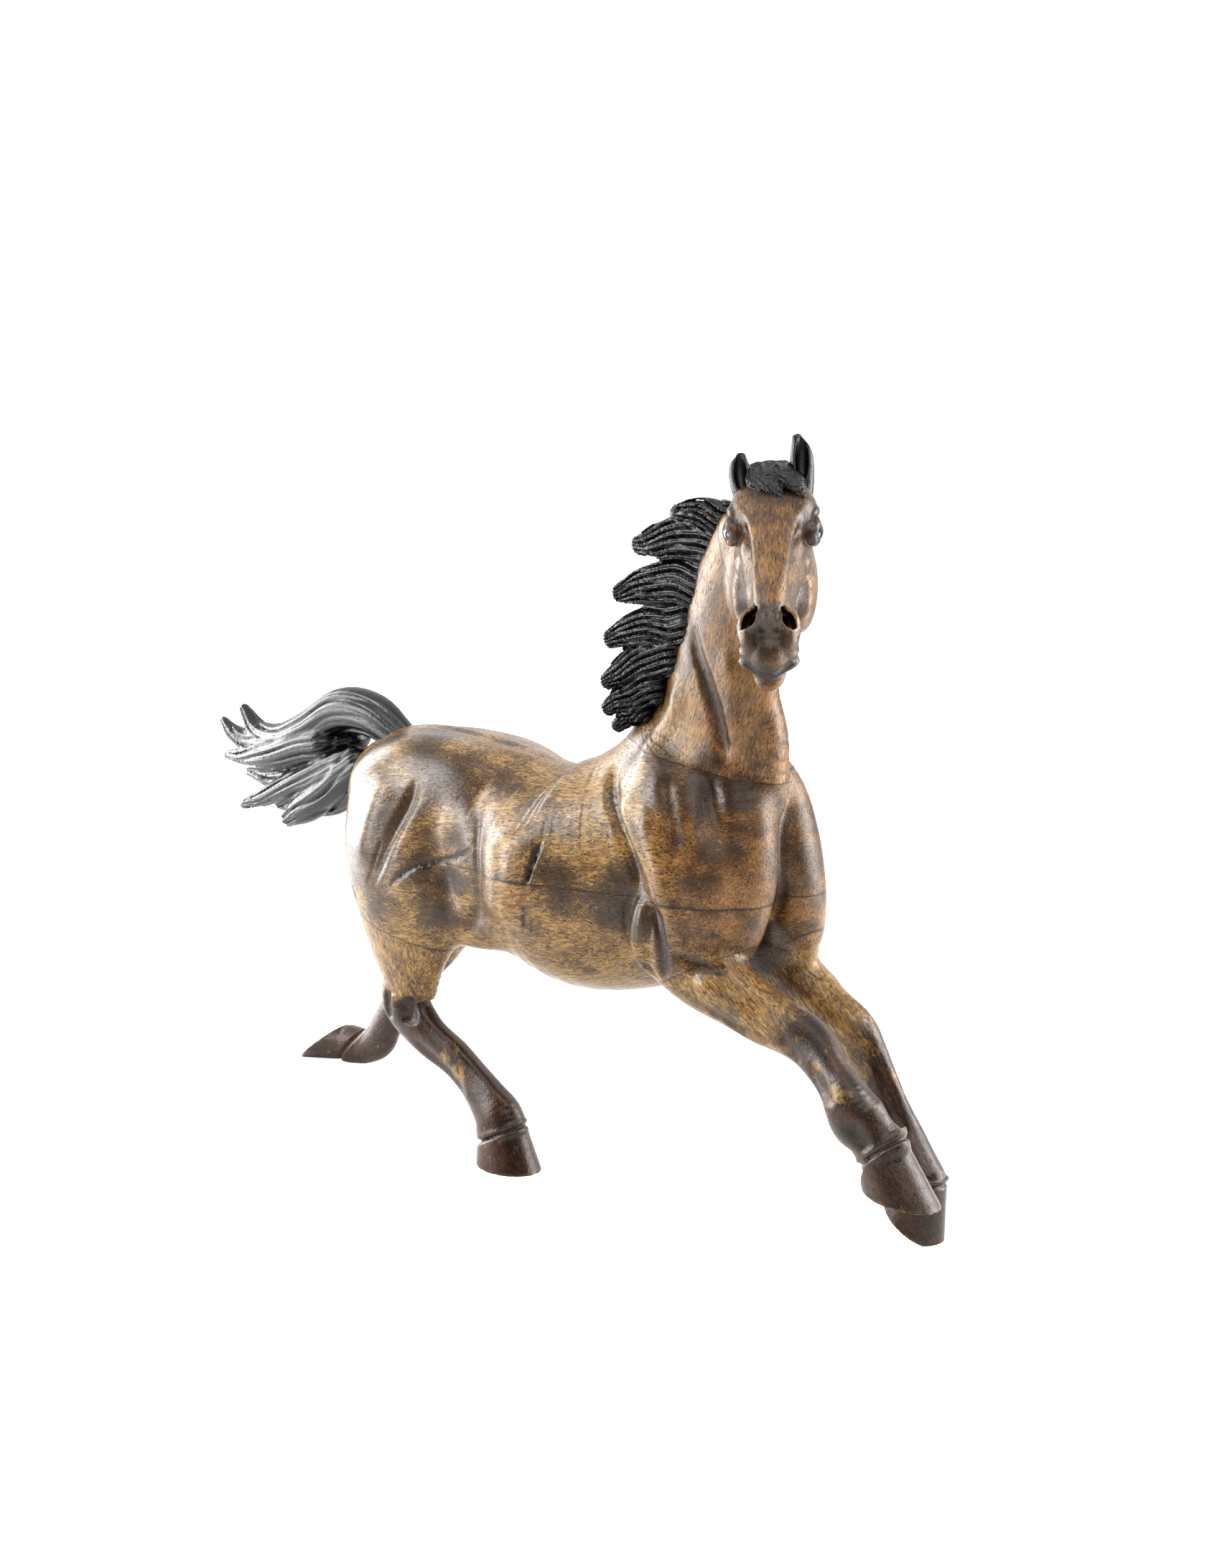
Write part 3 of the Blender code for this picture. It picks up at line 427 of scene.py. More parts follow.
class Hoof:
    """A leaning cone with a flat sole and a slanting coronet."""

    def __init__(self, sole, coronet, toe, up, half_length, half_width, taper, slant, blend=1.5):
        self.b, self.a = np.asarray(sole, float), np.asarray(coronet, float)
        self.up = unit(up)
        self.fore = unit(np.asarray(toe, float) - self.up * (np.asarray(toe, float) @ self.up))
        self.side = np.cross(self.up, self.fore)
        self.size, self.taper, self.slant = np.array((half_length, half_width)), taper, slant
        self.blend, self.cut = blend, False
        self.lo, self.hi = np.minimum(self.a, self.b) - 30, np.maximum(self.a, self.b) + 30

    def distance(self, p):
        q, lean = p - self.b, self.a - self.b
        rise = lean @ self.up
        z = q @ self.up
        t = np.clip(z / rise, -0.2, 1.4)
        x = q @ self.fore - t * (lean @ self.fore)
        y = q @ self.side - t * (lean @ self.side)
        narrow = 1 - t * (1 - self.taper)
        k = np.sqrt((x / (self.size[0] * narrow)) ** 2 + (y / (self.size[1] * narrow)) ** 2)
        wall = (k - 1) * self.size[1] * narrow * 0.9
        top = (z - rise - self.slant * x) / math.hypot(1, self.slant)
        return np.maximum(np.maximum(wall, -z), top)


class Line:
    """A carved line. Its depth fades at both ends."""

    def __init__(self, points, width, depth, stain_and_shade=0.0, fade=0.5, samples=18):
        self.c = curve(points, samples)
        self.width, self.depth, self.stain_and_shade, self.fade = width, depth, stain_and_shade, fade
        self.set_box()

    def set_box(self):
        self.lo, self.hi = self.c.min(0) - 3.2 * self.width - 1, self.c.max(0) + 3.2 * self.width + 1

    def shape(self, p, widen=1.0):
        best, where = nearest(p, self.c)
        s = where / (len(self.c) - 1)
        fade = np.clip(np.minimum(s, 1 - s) * 2 / self.fade, 0, 1)
        return fade * fade * (3 - 2 * fade) * np.exp(-best / (widen * self.width) ** 2)

    def height(self, p):
        return self.depth * self.shape(p)


class Ring:
    """A line carved round a limb, in a plane."""

    def __init__(self, centre, facing, reach, width, depth, stain_and_shade=0.0):
        self.centre, self.facing = np.asarray(centre, float), unit(facing)
        self.reach, self.width, self.depth, self.stain_and_shade = reach, width, depth, stain_and_shade
        self.lo, self.hi = self.centre - reach, self.centre + reach

    def shape(self, p, widen=1.0):
        q = p - self.centre
        inside = np.clip((self.reach - np.linalg.norm(q, axis=1)) / (0.2 * self.reach), 0, 1)
        return inside * np.exp(-((q @ self.facing) ** 2) / (widen * self.width) ** 2)

    def height(self, p):
        return self.depth * self.shape(p)


def smooth_min(a, b, k):
    h = np.maximum(k - np.abs(a - b), 0.0) / k
    return np.minimum(a, b) - h * h * k * 0.25


def in_box(p, thing):
    return ((p > thing.lo) & (p < thing.hi)).all(1)


def field(p, forms, lines):
    """Distance to the carved surface, negative inside."""
    d = np.full(len(p), FAR)
    for form in forms:
        m = in_box(p, form)
        if not m.any():
            continue
        new = form.distance(p[m])
        d[m] = -smooth_min(-d[m], new, form.blend) if form.cut else smooth_min(d[m], new, form.blend)
    for line in lines:
        m = in_box(p, line)
        if m.any():
            d[m] += line.height(p[m])
    return d


def lattice(counts):
    """Whole-number places, one row for each point of a block of them."""
    return np.stack(np.meshgrid(*[np.arange(n) for n in counts], indexing="ij"), -1).reshape(-1, 3)


def grid_field(forms, lines, lo, hi, h):
    """The field on a grid. Its blocks are tested first, and only those near the surface worked out."""
    side = 4
    blocks = np.ceil((hi - lo) / (side * h)).astype(int) + 1
    corners = lattice(blocks) * side
    grid = field(lo + (corners + (side - 1) / 2) * h, forms, lines)
    near = np.abs(grid) < 5 * h + 2.5
    grid = grid.reshape(blocks)
    for axis in range(3):
        grid = np.repeat(grid, side, axis)
    grid = grid.astype(np.float32)
    cells = (corners[near][:, None] + lattice([side] * 3)).reshape(-1, 3)
    grid[tuple(cells.T)] = field(lo + cells * h, forms, lines)
    return grid


def surface_nets(d, origin, h):
    """Quads along the zero level of a grid."""
    inside = d < 0
    shape = np.array(d.shape) - 1
    total = np.zeros([*shape, 3], np.float32)
    count = np.zeros(shape, np.int16)
    for axis in range(3):
        first, second = [i for i in range(3) if i != axis]
        for a in (0, 1):
            for b in (0, 1):
                start, end = [0, 0, 0], [0, 0, 0]
                start[first] = end[first] = a
                start[second] = end[second] = b
                end[axis] = 1
                s0 = tuple(slice(start[i], start[i] + shape[i]) for i in range(3))
                s1 = tuple(slice(end[i], end[i] + shape[i]) for i in range(3))
                crossed = inside[s0] != inside[s1]
                t = np.where(crossed, d[s0] / np.where(crossed, d[s0] - d[s1], 1), 0)
                for i in range(3):
                    total[..., i] += np.where(crossed, start[i] + (t if i == axis else 0), 0)
                count += crossed
    cells = np.argwhere(count > 0)
    index = -np.ones(shape, np.int64)
    index[tuple(cells.T)] = np.arange(len(cells))
    verts = (cells + total[tuple(cells.T)] / count[tuple(cells.T)][:, None]) * h + origin
    quads = []
    for axis in range(3):
        a, b = [(1, 2), (2, 0), (0, 1)][axis]
        lower, upper = [slice(None)] * 3, [slice(None)] * 3
        lower[axis], upper[axis] = slice(0, -1), slice(1, None)
        s0, s1 = inside[tuple(lower)], inside[tuple(upper)]
        e = np.argwhere(s0 != s1)
        whole = (e[:, a] > 0) & (e[:, b] > 0) & (e[:, a] < d.shape[a] - 1) & (e[:, b] < d.shape[b] - 1)
        e = e[whole]
        flip = s0[tuple(e.T)]
        corners = []
        for da, db in ((1, 1), (0, 1), (0, 0), (1, 0)):
            c = e.copy()
            c[:, a] -= da
            c[:, b] -= db
            corners.append(index[tuple(c.T)])
        q = np.stack(corners, 1)
        q[~flip] = q[~flip][:, ::-1]
        quads.append(q)
    return verts, np.vstack(quads)


def subdivide(v, q):
    """Each quad becomes four."""
    e = np.stack([q, np.roll(q, -1, 1)], 2).reshape(-1, 2)
    e.sort(1)
    key, place = np.unique(e[:, 0].astype(np.int64) * len(v) + e[:, 1], return_inverse=True)
    middle = (v[key // len(v)] + v[key % len(v)]) / 2
    centre = v[q].mean(1)
    m = place.reshape(-1, 4) + len(v)
    f = np.arange(len(q)) + len(v) + len(middle)
    parts = [np.stack([q[:, i], m[:, i], f, m[:, i - 1]], 1) for i in range(4)]
    return np.vstack([v, middle, centre]), np.vstack(parts)


def normals_of(v, q):
    cross = np.cross(v[q[:, 2]] - v[q[:, 0]], v[q[:, 3]] - v[q[:, 1]])
    out = np.zeros_like(v)
    for i in range(4):
        for axis in range(3):
            out[:, axis] += np.bincount(q[:, i], cross[:, axis], len(v))
    return unit(out)


def settle(v, q, forms, lines, steps, reach):
    """Moves each point along its normal onto the surface."""
    for _ in range(steps):
        n = normals_of(v, q)
        v = v - n * np.clip(field(v, forms, lines), -reach, reach)[:, None]
    return v


def carve(forms, lines, lo, hi, h):
    """The skin of the forms inside a box, with points about h / 2 apart."""
    h = h * COARSE
    lo, hi = np.asarray(lo, float), np.asarray(hi, float)
    near = [f for f in forms if (f.lo < hi).all() and (f.hi > lo).all()]
    cuts = [f for f in lines if (f.lo < hi).all() and (f.hi > lo).all()]
    v, q = surface_nets(grid_field(near, cuts, lo, hi, h), lo, h)
    v = settle(v, q, near, cuts, 2, h)
    v, q = subdivide(v, q)
    return settle(v, q, near, cuts, 2, h / 2), q


def hollow(v, q, blur=6):
    """How hollow the skin is at each point: above 0 in a groove, below 0 on a ridge."""
    a, b = np.vstack([q[:, [0, 1]], q[:, [1, 2]], q[:, [2, 3]], q[:, [3, 0]]]).T
    count = np.maximum(np.bincount(a, minlength=len(v)), 1)

    def around(x):
        return np.bincount(a, x[b], len(v)) / count

    mean = np.stack([around(v[:, i]) for i in range(3)], 1)
    bend = ((mean - v) * normals_of(v, q)).sum(1)
    step = np.sqrt(((v[a] - v[b]) ** 2).sum(1).mean())
    bend = bend / step**2
    for _ in range(blur):
        bend = 0.5 * bend + 0.5 * around(bend)
    return bend


def at(points):
    """(forward, left, up) in millimetres as places in the frame, in metres."""
    p = np.asarray(points, float)
    return np.stack([p[..., 1] - LEFT_SHIFT, FORWARD_SHIFT - p[..., 0], p[..., 2]], -1) * MM


def place_of(p):
    """A place in the frame as (forward, left, up) in millimetres."""
    return FORWARD_SHIFT - p.y / MM, p.x / MM + LEFT_SHIFT, p.z / MM


def way(direction):
    forward, left, up = direction
    return Vector((left, -forward, up)).normalized()


def mesh_of(name, v, q, channels):
    """A mesh with a named number at each point for each channel."""
    mesh = bpy.data.meshes.new(name)
    mesh.vertices.add(len(v))
    mesh.vertices.foreach_set("co", at(v).astype(np.float32).ravel())
    mesh.loops.add(q.size)
    mesh.polygons.add(len(q))
    mesh.loops.foreach_set("vertex_index", q.ravel().astype(np.int32))
    mesh.polygons.foreach_set("loop_start", np.arange(0, q.size, 4, dtype=np.int32))
    mesh.polygons.foreach_set("loop_total", np.full(len(q), 4, np.int32))
    mesh.update(calc_edges=True)
    for channel, values in channels.items():
        attribute = mesh.attributes.new(channel, "FLOAT", "POINT")
        attribute.data.foreach_set("value", values.astype(np.float32))
    return mesh


def cut_plane(mesh, joint, clear, part=None):
    """Cuts a bmesh half a glue line past a joint, and closes the cut.

    clear says which side goes: the one behind the joint, or the one that it faces. part limits both."""
    point, facing = joint
    normal = way(facing)
    start = Vector(at(point)) + normal * GLUE_LINE / 2 * MM

    def chosen(centre):
        return part is None or part(*place_of(centre))

    faces = [f for f in mesh.faces if chosen(f.calc_center_median())]
    geometry = list({v for f in faces for v in f.verts}) + list({e for f in faces for e in f.edges}) + faces
    cut = bmesh.ops.bisect_plane(mesh, geom=geometry, plane_co=start, plane_no=normal, dist=1e-7)
    edges = [e for e in cut["geom_cut"] if isinstance(e, bmesh.types.BMEdge)]
    gone = []
    for f in mesh.faces:
        centre = f.calc_center_median()
        if chosen(centre) and ((centre - start).dot(normal) < 0) == clear:
            gone.append(f)
    bmesh.ops.delete(mesh, geom=gone, context="FACES")
    edges = [e for e in edges if e.is_valid and e.is_boundary]
    bmesh.ops.edgenet_fill(mesh, edges=edges)


def flipped(joint):
    point, facing = joint
    return point, tuple(-x for x in facing)


def set_back(joint):
    """The joint's plane, moved to the trunk's side of the glue line."""
    point, facing = joint
    return tuple(point - unit(facing) * GLUE_LINE), facing


def largest_island(mesh):
    """Deletes all but the island with the most points."""
    left, islands = set(mesh.verts), []
    while left:
        seed = left.pop()
        island, edge = [seed], [seed]
        while edge:
            v = edge.pop()
            for e in v.link_edges:
                other = e.other_vert(v)
                if other in left:
                    left.remove(other)
                    island.append(other)
                    edge.append(other)
        islands.append(island)
    islands.sort(key=len)
    bmesh.ops.delete(mesh, geom=[v for island in islands[:-1] for v in island], context="VERTS")


def block(name, skin, joints, legs=()):
    """A block of the skin on the far side of its joints, less the legs, as an object."""
    mesh = bmesh.new()
    mesh.from_mesh(mesh_of(name, *skin))
    for joint in joints:
        cut_plane(mesh, joint, True)
    for joint, part in legs:
        cut_plane(mesh, set_back(joint), False, part)
    return finished(name, mesh)


def finished(name, mesh):
    """The largest body of a bmesh, smoothly shaded but for its sharp edges, as an object."""
    largest_island(mesh)
    bmesh.ops.recalc_face_normals(mesh, faces=mesh.faces)
    data = bpy.data.meshes.new(name)
    mesh.to_mesh(data)
    mesh.free()
    data.shade_smooth()
    data.set_sharp_from_angle(angle=math.radians(SHARP_ANGLE))
    obj = bpy.data.objects.new(name, data)
    bpy.context.scene.collection.objects.link(obj)
    return obj


def other_side(points):
    """The same places on the other side. The middle swings left at the chest and right up the neck."""
    rows = []
    for f, l, u in points:
        middle = np.interp(f, (-140, 8, 66, 120), (-2, -2, 4, 9))
        if u > 240:
            middle = np.interp(u, (240, 350), (0, -15))
        rows.append((f, 2 * middle - l, u))
    return rows


def body_forms():
    forms = [Tube(TRUNK, blend=10), Tube(NECK, blend=14)]
    forms += [Tube(rows, blend=5) for rows in (BREAST_RIGHT, BREAST_LEFT)]
    forms += [Tube(rows, blend=8) for rows in (HIND_RIGHT, HIND_LEFT, FORE_RIGHT, FORE_LEFT)]
    forms += [Egg(centre, radii, along, blend) for centre, radii, along, blend in MUSCLES]
    return forms + [Hoof(*hoof) for hoof in HOOVES]


def head_forms():
    forms = [Tube(on_head(SKULL), ACROSS_HEAD, 5), Tube(on_head(JAW), ACROSS_HEAD, 6)]
    forms.append(Tube(on_head(NOSE_BRIDGE), ACROSS_HEAD, 4))
    eggs = [(UPPER_LIP, False), (CHIN, False)]
    for egg in HEAD_PAIRS + [EYE]:
        eggs += [(egg, False), (mirror_egg(egg), False)]
    for egg in (NOSTRIL, NOSTRIL_TAIL):
        eggs += [(egg, True), (mirror_egg(egg), True)]
    for (centre, radii, along, blend), is_cut in eggs:
        forms.append(head_egg(centre, np.array(radii) * HEAD_SIZE, along, blend, is_cut))
    return forms


def head_egg(centre, radii, along, blend, is_cut):
    """An ellipsoid given in the head's frame."""
    return Egg(on_head([centre])[0], radii, HEAD_AXES @ along, blend, ACROSS_HEAD, is_cut)


def mirror_egg(egg):
    (x, y, z), radii, (dx, dy, dz), blend = egg
    return (x, -y, z), radii, (dx, -dy, dz), blend


def snapped(line, forms):
    """Moves a line's points onto the surface of the forms."""
    for _ in range(4):
        d = field(line.c, forms, [])
        slope = np.stack([field(line.c + 0.3 * np.eye(3)[i], forms, []) - d for i in range(3)], 1) / 0.3
        line.c = line.c - np.clip(d, -3, 3)[:, None] * unit(slope)
    line.set_box()
    return line


def body_lines(forms):
    lines = []
    for points, *rest in SIDE_LINES:
        lines += [Line(points, *rest), Line(other_side(points), *rest)]
    lines += [Line(*line) for line in CHEST_LINES + CRACKS + HOCK_LINES + FORELEG_LINES]
    lines = [snapped(line, forms) for line in lines]
    for points, *rest in HEAD_LINES:
        for side in (points, [(x, -y, z) for x, y, z in points]):
            lines.append(snapped(Line(on_head(side), *rest), forms))
    lines.append(snapped(Line(on_head(MOUTH[0]), *MOUTH[1:]), forms))
    return lines + coronet_rings()


def coronet_rings():
    """A groove under the rim of each coronet, and the rim."""
    rings = []
    for _, coronet, toe, up, half_length, _, taper, slant in HOOVES:
        up, coronet = unit(up), np.asarray(coronet)
        fore = unit(toe - up * (toe @ up))
        facing = unit(up - slant * fore)
        reach = half_length * taper * 1.9
        rings.append(Ring(coronet - facing * GROOVE_BELOW, facing, reach, 1.1, 1.3, 0.9))
        rings.append(Ring(coronet + facing * RIM_ABOVE, facing, reach, 1.6, -0.5))
    return rings


HOLLOW_SHADE, RIDGE_WEAR = 3.6, 3.0  # how dark hollows are painted, as painted shade, and how readily ridges lose their stain
LIMB_REACH = 45  # how far the stain along a limb's joint reaches from its middle

# Patches of darker stain on the body, some of them painted shade in the flank's creases and between the
# forelegs: place, radius, strength.
STAIN_AND_SHADE_PATCHES = [
    ((126, -14, 206), 20, 0.35), ((118, -28, 190), 18, 0.3), ((128, 24, 180), 22, 0.35),
    ((124, -16, 150), 16, 0.4), ((-60, -30, 226), 22, 0.35), ((-30, -30, 218), 18, 0.3),
    ((-120, -24, 222), 18, 0.4), ((60, -10, 262), 10, 0.5), ((-44, -46, 160), 12, 0.7),
    ((-44, -48, 182), 12, 0.7), ((-76, -40, 212), 18, 0.5), ((-100, -50, 150), 20, 0.4),
    ((-20, -40, 214), 16, 0.4), ((20, -44, 196), 16, 0.3), ((184, -34, 106), 10, 0.6),
    ((168, 40, 86), 10, 0.6), ((110, -24, 236), 14, 0.7), ((120, -10, 230), 14, 0.7),
    ((100, -30, 236), 12, 0.5), ((126, 2, 216), 16, 0.6), ((-46, -46, 205), 12, 0.5),
    ((30, -50, 170), 14, 0.5), ((-130, -36, 140), 16, 0.5), ((96, -22, 300), 20, 0.4),
    ((-92, -54, 186), 24, 0.55), ((-116, -48, 166), 24, 0.5), ((-88, -26, 230), 26, 0.5),
    ((-112, -28, 214), 26, 0.5), ((-68, -52, 166), 12, 0.7), ((-70, -50, 150), 16, 0.5),
    ((-84, -30, 218), 12, 0.6), ((-40, -46, 176), 10, 0.5), ((-92, 50, 186), 24, 0.55),
    ((-100, 30, 224), 26, 0.5), ((66, -42, 163), 24, 0.8), ((-82, -40, 226), 16, 0.8),
    ((-62, -48, 214), 18, 0.9), ((-46, -48, 205), 14, 0.7), ((-52, -50, 158), 14, 0.9),
    ((-56, -48, 140), 13, 0.7), ((60, -26, 238), 14, 0.6), ((84, -31, 230), 16, 0.7),
    ((106, -24, 226), 14, 0.8), ((122, -14, 222), 14, 0.8), ((120, 30, 200), 26, 0.6),
    ((98, -42, 140), 12, 0.5), ((66, 46, 163), 24, 0.8), ((-62, 46, 214), 20, 0.8),
    ((-52, 48, 150), 18, 0.7), ((-100, -55, 190), 9, 0.6), ((-95, 40, 96), 16, 0.6),
    ((108, 10, 132), 22, 0.9), ((0, -40, 205), 14, 0.5), ((112, -20, 176), 18, 0.3),
]
# Places on the lower legs where the stain is rubbed off: place, radius.
RUBBED = [
    ((-54, -42, 48), 8), ((-62, -42, 56), 5), ((203, -43, 92), 8), ((190, -40, 103), 6),
    ((178, 38, 78), 7),
]


# Spots on the head, in its frame and on both sides: channel, strength, place, size, softness of the edge.
HEAD_SPOTS = [
    ("black", 1, (32.5, 22, -10.8), (7, 6, 5), 0.12),  # eye
    ("black", 1, (107, 9.6, -7.5), (5.6, 3.6, 5.5), 0.3),  # nostril
    ("grey", 1, (121, 0, -23), (9, 9, 7), 0.5),  # lips
    ("stain_and_shade", 0.95, (8, 0, 2), (26, 26, 20), 0.7),  # painted shade under the forelock
    ("stain_and_shade", 0.8, (28, 20, -8), (19, 10, 15), 0.8),  # round the eye
    ("stain_and_shade", 0.95, (108, 0, -12), (18, 17, 18), 0.5),  # muzzle
    ("stain_and_shade", 0.7, (30, 14, -52), (34, 12, 16), 0.6),  # jowl
    ("stain_and_shade", 0.45, (62, 16, -22), (28, 9, 18), 0.9),  # cheek
    ("stain_and_shade", 0.22, (50, 0, -5), (80, 40, 40), 0.5),  # whole face
]


def patch(v, centre, radius):
    """1 in the middle of a round patch, fading outwards."""
    return np.exp(-1.4 * ((v - centre) ** 2).sum(1) / radius**2)


def ramp(x, start, run):
    """0 before the start, then rising to 1 over the run."""
    return np.clip((x - start) / run, 0, 1)


def painted(v, q, lines):
    """How dark each point is painted: painted shade in hollows, stain and painted shade in lines and some
    patches, and stain in joints, on the lower legs and in old patches.
    """
    bend = hollow(v, q)
    # Painted shade: the hollower the skin, the darker it is painted.
    stain_and_shade = np.clip(bend * HOLLOW_SHADE, 0, 1)
    for line in lines:
        if line.stain_and_shade:
            m = in_box(v, line)
            # Fully dark lines, the cracks and notches, are darkened wider, over their edges: painted shade.
            widen = 1.25 if line.stain_and_shade < 1 else 2.0
            stain_and_shade[m] = np.maximum(stain_and_shade[m], line.stain_and_shade * line.shape(v[m], widen))
    for joint in JOINTS:
        point, facing = joint
        strength = 0.25 * (np.linalg.norm(v - point, axis=1) < LIMB_REACH)
        if joint in (TRUNK_JOINT, NECK_JOINT):
            strength = 0.5
        stain_and_shade = np.maximum(stain_and_shade, strength * np.exp(-(((v - point) @ unit(facing)) ** 2) / 0.9))
    for centre, radius, amount in STAIN_AND_SHADE_PATCHES:
        stain_and_shade = np.maximum(stain_and_shade, amount * patch(v, centre, radius))
    forward, _, up = v.T
    leg = np.where(forward < 60, ramp(-up, -88, 14), ramp(forward, 156, 26) * ramp(-up, -150, 20))
    for centre, radius in RUBBED:
        leg = leg * (1 - patch(v, centre, radius))
    return {
        "stain_and_shade": np.clip(stain_and_shade, 0, 1),
        "worn": np.clip(-bend * RIDGE_WEAR - 0.15, 0, 1),
        "leg": leg,
        "warm": ramp(forward, 78, 30) * ramp(up, 130, 30),
        "black": np.zeros(len(v)),
        "grey": np.zeros(len(v)),
    }


def head_paint(v, q, lines):
    """The head's paint: as the body's, with its own spots."""
    marks = painted(v, q, lines)
    marks["leg"] = np.zeros(len(v))
    p = (v - POLL) @ HEAD_AXES / HEAD_SIZE
    p[:, 1] = np.abs(p[:, 1])
    for channel, strength, centre, radii, soft in HEAD_SPOTS:
        away = np.sqrt((((p - centre) / radii) ** 2).sum(1))
        marks[channel] = np.maximum(marks[channel], strength * np.clip((1 - away) / soft, 0, 1))
    return marks


class Nodes:
    """Shortens the making of a node tree."""

    def __init__(self, material):
        material.use_nodes = True
        self.tree = material.node_tree
        self.shader = self.tree.nodes["Principled BSDF"]

    def add(self, kind, settings=(), **inputs):
        node = self.tree.nodes.new("ShaderNode" + kind)
        for key, value in dict(settings).items():
            setattr(node, key, value)
        for key, value in inputs.items():
            self.plug(node.inputs[key.replace("_", " ")], value)
        return node

    def plug(self, socket, value):
        if isinstance(value, bpy.types.NodeSocket):
            self.tree.links.new(value, socket)
        elif hasattr(value, "__len__") and len(value) == 3 and socket.type == "RGBA":
            socket.default_value = (*value, 1)
        else:
            socket.default_value = value

    def math(self, operation, a, b=0.0, clamp=False):
        node = self.tree.nodes.new("ShaderNodeMath")
        node.operation, node.use_clamp = operation, clamp
        self.plug(node.inputs[0], a)
        self.plug(node.inputs[1], b)
        return node.outputs[0]

    def mix(self, fac, a, b, kind="MIX"):
        node = self.tree.nodes.new("ShaderNodeMix")
        node.data_type, node.blend_type = "RGBA", kind
        self.plug(node.inputs[0], fac)
        self.plug(node.inputs[6], a)
        self.plug(node.inputs[7], b)
        return node.outputs[2]

    def times(self, a, b):
        return self.math("MULTIPLY", a, b)

    def plus(self, total, *others):
        for other in others:
            total = self.math("ADD", total, other)
        return total

    def rest(self, part, clamp=False):
        """What a part leaves of 1."""
        return self.math("SUBTRACT", 1.0, part, clamp)

    def swing(self, noise, gain):
        """A noise about its middle, times a gain."""
        return self.times(self.math("SUBTRACT", noise, 0.5), gain)

    def noise(self, vector, size_mm, detail=3.0, rough=0.5):
        node = self.add("TexNoise", Vector=vector, Scale=1 / (size_mm * MM), Detail=detail, Roughness=rough)
        return node.outputs["Fac"]

    def step(self, value, low, high):
        """0 below low, 1 above high, smooth between."""
        node = self.add("MapRange", {"interpolation_type": "SMOOTHSTEP"}, Value=value)
        node.inputs["From Min"].default_value, node.inputs["From Max"].default_value = low, high
        return node.outputs[0]

    def channel(self, name):
        return self.add("Attribute", {"attribute_name": name}).outputs["Fac"]

    def stretched(self, vector, along, offset=0.0):
        """Coordinates squeezed along X, so that what they draw is drawn out along X."""
        node = self.add("Mapping", Vector=vector)
        node.inputs["Scale"].default_value = (1 / along, 1, 1)
        node.inputs["Location"].default_value = (offset, offset * 0.7, offset * 0.3)
        return node.outputs[0]


OCHRE, LIGHT_OCHRE, UMBER = (0.175, 0.096, 0.030), (0.38, 0.235, 0.082), (0.045, 0.021, 0.009)
DEEP_UMBER, NEARLY_BLACK, RED_BROWN = (0.010, 0.005, 0.003), (0.004, 0.003, 0.003), (0.21, 0.088, 0.024)
LEG_BROWN, LEG_RED = (0.014, 0.007, 0.005), (0.070, 0.026, 0.012)
LIP_GREY = (0.012, 0.013, 0.015)
LACQUER_BLACK, LACQUER_GREY = (0.003, 0.003, 0.004), (0.010, 0.010, 0.012)
RUBBED_LACQUER = (0.045, 0.018, 0.012)
BEECH, LIGHT_BEECH = (0.40, 0.25, 0.13), (0.60, 0.42, 0.25)
DRIFT_SIZE, DRIFT = 30 * MM, 4 * MM  # how the wood's grain wanders
BUMP = 0.3 * MM


